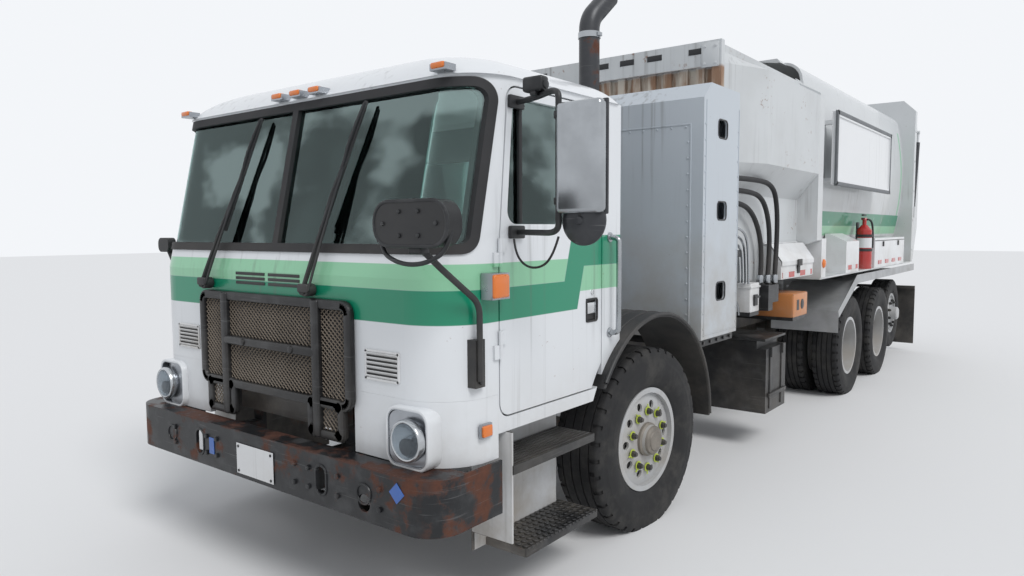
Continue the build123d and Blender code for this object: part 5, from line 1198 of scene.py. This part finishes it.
# %% Chassis gear
hand_over("latch_box", blocks((1.025, 1.705, 1.219, 0.256, 0.196, 0.224, 0.010),
                              (1.027, 1.705, 1.300, 0.268, 0.206, 0.016, 0.004, 2)), "box paint")
hand_over("chock_box", block((1.0275, 2.695, 1.0865), (0.342, 0.398, 0.205), 0.014), "orange paint")
# The hole and slot of the chock box, drawn as black fills of painted shade, the latch, the battery box's lid, step,
# straps and latches, the filter
dark_bits = [drum((1.199, 2.740, 1.090), 0.044, 0.004, (1, 0, 0), 32, 0.001),
             drum((1.060, 1.420, 1.420), 0.060, 0.240, (0, 0, 1), 32, 0.010)]
dark_bits += blocks((1.199, 2.620, 1.090, 0.004, 0.060, 0.090, 0.0015, 1),
                    (1.158, 1.705, 1.200, 0.014, 0.070, 0.085, 0.005),
                    (1.170, 1.705, 1.225, 0.014, 0.110, 0.018, 0.005),
                    (0.910, 2.095, 0.872, 0.560, 0.490, 0.020, 0.006),
                    (1.206, 2.095, 0.430, 0.024, 0.400, 0.030, 0.006),
                    (1.060, 1.420, 1.560, 0.140, 0.130, 0.050, 0.010))
for y in (1.960, 2.230):
    dark_bits += blocks((1.199, y, 0.560, 0.008, 0.045, 0.480, 0.002, 2),
                        (1.205, y, 0.770, 0.016, 0.034, 0.080, 0.005))
hand_over("chassis_fittings", dark_bits, "trim black")

pipes = []
for k in range(4):
    x, high, back = 1.150 - 0.035 * k, 1.760 - 0.045 * k, 0.03 * k
    pipes.append(rod(((x, 1.158, high), (x, 1.300 + 0.02 * k, high), (x, 1.520 + back, high - 0.060),
                      (x, 1.560 + back, 1.500), (x, 1.570 + back, 1.330)), 0.009))
for z in (1.240, 1.140):
    pipes.append(drum((1.090, 1.240, z), 0.042, 0.060, (1, 0, 0), 24, 0.008))
    pipes.append(drum((1.130, 1.240, z), 0.018, 0.034, (1, 0, 0), 6, 0.003))
pipes.append(rod(((1.090, 1.158, 1.240), (1.090, 1.400, 1.240), (1.080, 1.560, 1.180), (1.070, 1.600, 1.090)), 0.008))
hand_over("pipes", pipes, "stainless")


def band(inner, outer, half_width, centre, steps=32):
    """A flat band round an upright cylinder."""
    outline = [(-half_width, inner), (-half_width, outer), (half_width, outer), (half_width, inner)]
    return turned(outline + outline[:1], centre, (0, 0, 1), steps)


clamps = []
for z in (1.725, 2.300, 2.960):
    clamps.append(band(0.064, 0.071, 0.018, (0.600, 0.210, z)))
    clamps.append(block((0.676, 0.210, z), (0.018, 0.036, 0.024), 0.003, 2))
hand_over("stack_clamps", clamps, "stainless")

# %% [markdown]
# The body carries reflective tape and reflectors, marker lamps, latches, the sign's frame and the dark
# slots in the hopper's top beam. The tape is red and white in squares. They are a pattern along the truck
# on one plain strip, which is lighter than a block for each square.

# %% Body gear
def reflective_tape(name):
    """Red and white squares along the truck, with a fine honeycomb."""
    finish = Finish(name)
    red = finish.y.to_and_fro(0.15).ramp(0.073, 0.077)
    coloured = finish.mix(red, (0.70, 0.71, 0.72, 1), (0.52, 0.02, 0.02, 1))
    dusted = finish.mix(dust_mask(finish, 0.9, 2.2, 0.5), coloured, dust_colour)
    cells = finish.y.to_and_fro(0.004) * 100 + finish.z.to_and_fro(0.004) * 100
    finish.surface(Base_Color=dusted, Roughness=0.25, Normal=finish.bump(cells, 0.2, 0.001))


reflective_tape("reflective tape")
plain("sign grey", (0.17, 0.18, 0.19, 1), 0.5, 0.3)
strips = blocks((1.1975, 2.600, 1.362, 0.003, 0.800, 0.046, 0.0008, 1),
                (1.2225, 4.340, 1.345, 0.003, 0.420, 0.046, 0.0008, 1),
                (-1.2225, 5.300, 1.345, 0.003, 3.0, 0.046, 0.0008, 1))
hand_over("tape_strips", strips, "reflective tape", "tipping_body")
reds = [block((1.2235, y, 1.350), (0.005, 0.170, 0.045), 0.0015, 1) for y in (5.60, 5.98, 6.36, 6.74)]
hand_over("side_reflectors", reds, "red lens", "tipping_body")
marker_dome = [(0.0, 0.0), (0.0, 0.042), (0.008, 0.041), (0.016, 0.032), (0.021, 0.016), (0.022, 0.0)]
ambers = [turned(marker_dome, (side * 1.2215, y, 1.420), (side, 0, 0), 28) for side, y in ((1, 3.278), (-1, 3.700))]
hand_over("body_markers", ambers, "amber lens", "tipping_body")
hasps = blocks((1.2030, 2.600, 1.400, 0.012, 0.060, 0.070, 0.003, 2),
               (1.2225, 6.165, 1.600, 0.004, 1.660, 0.008, 0.001, 1),
               (1.2260, 5.75, 1.560, 0.014, 0.045, 0.060, 0.004, 2),
               (1.2260, 6.60, 1.560, 0.014, 0.045, 0.060, 0.004, 2))
hand_over("box_fittings", hasps, "black plastic", "tipping_body")
lid_latch = block((1.2140, 2.600, 1.456), (0.012, 0.110, 0.056), 0.004, 2)
hand_over("lid_latch", lid_latch, "black plastic", "toolbox_lid")
sign_edge = ring((1.2770, 4.595, 2.486), 2.330, 0.692, 0.038, 0.024, 0.018, 0.004, pi / 2)
hand_over("sign_frame", sign_edge, "sign grey", "tipping_body")
# The beam's slots are black fills: painted shade inside them.
beam_slots = [block((x, 1.1945, 3.000), (0.120, 0.004, 0.042), 0.0018, 2)
              for x in (-0.92, -0.70, -0.48, 0.10, 0.32, 0.55, 0.88)]
hand_over("beam_slots", beam_slots, "black plastic", "tipping_body")

# %% [markdown]
# A gusset plate and rows of bolts hold the body's corners, and the extinguisher hangs in two straps with
# its squeeze grip and horn. The tail lamps are the body's marker domes, made larger.

# %% Plates, extinguisher and tail lamps
gusset_x, gusset_z = 0.985, 2.965
plates = [block((gusset_x, 1.190, gusset_z), (0.130, 0.008, 0.170), 0.003, 2)]
plates += [drum((gusset_x + dx, 1.184, gusset_z + dz), 0.011, 0.008, (0, -1, 0), 6, 0.002)
           for dz in (-0.06, 0.06) for dx in (-0.04, 0.04)]
plates += [drum((1.223, 7.560, z), 0.012, 0.010, (1, 0, 0), 6, 0.002) for z in (1.45, 1.85, 2.25, 2.65, 3.05)]
hand_over("body_plates", plates, "body paint", "tipping_body")

bottle_x, bottle_y = 1.140, 5.165
horn = ((0.02, 0.03, 1.840), (0.05, 0.10, 1.850), (0.07, 0.115, 1.700), (0.07, 0.095, 1.520))
straps = [band(0.083, 0.089, 0.014, (bottle_x, bottle_y, z)) for z in (1.500, 1.660)]
straps += blocks((bottle_x, bottle_y - 0.030, 1.890, 0.026, 0.130, 0.018, 0.006),
                 (bottle_x, bottle_y - 0.040, 1.850, 0.022, 0.090, 0.014, 0.005),
                 (bottle_x - 0.070, bottle_y, 1.600, 0.014, 0.110, 0.420, 0.004, 2))
straps.append(rod([(bottle_x + x, bottle_y + y, z) for x, y, z in horn], 0.011, 4))
hand_over("extinguisher_fittings", straps, "black plastic", "tipping_body")
sleeve = band(0.0803, 0.0815, 0.055, (bottle_x, bottle_y, 1.580), 40)
hand_over("extinguisher_label", sleeve, "plate white", "tipping_body")

tail_dome = [(a * 1.6, r * 1.45) for a, r in marker_dome]
tail = [turned(tail_dome, (side * 0.980, 8.291, z), (0, 1, 0), 32) for side in (-1, 1) for z in (1.420, 1.560)]
hand_over("tail_lamps", tail, "red lens", "tailgate")
print("body gear placed")
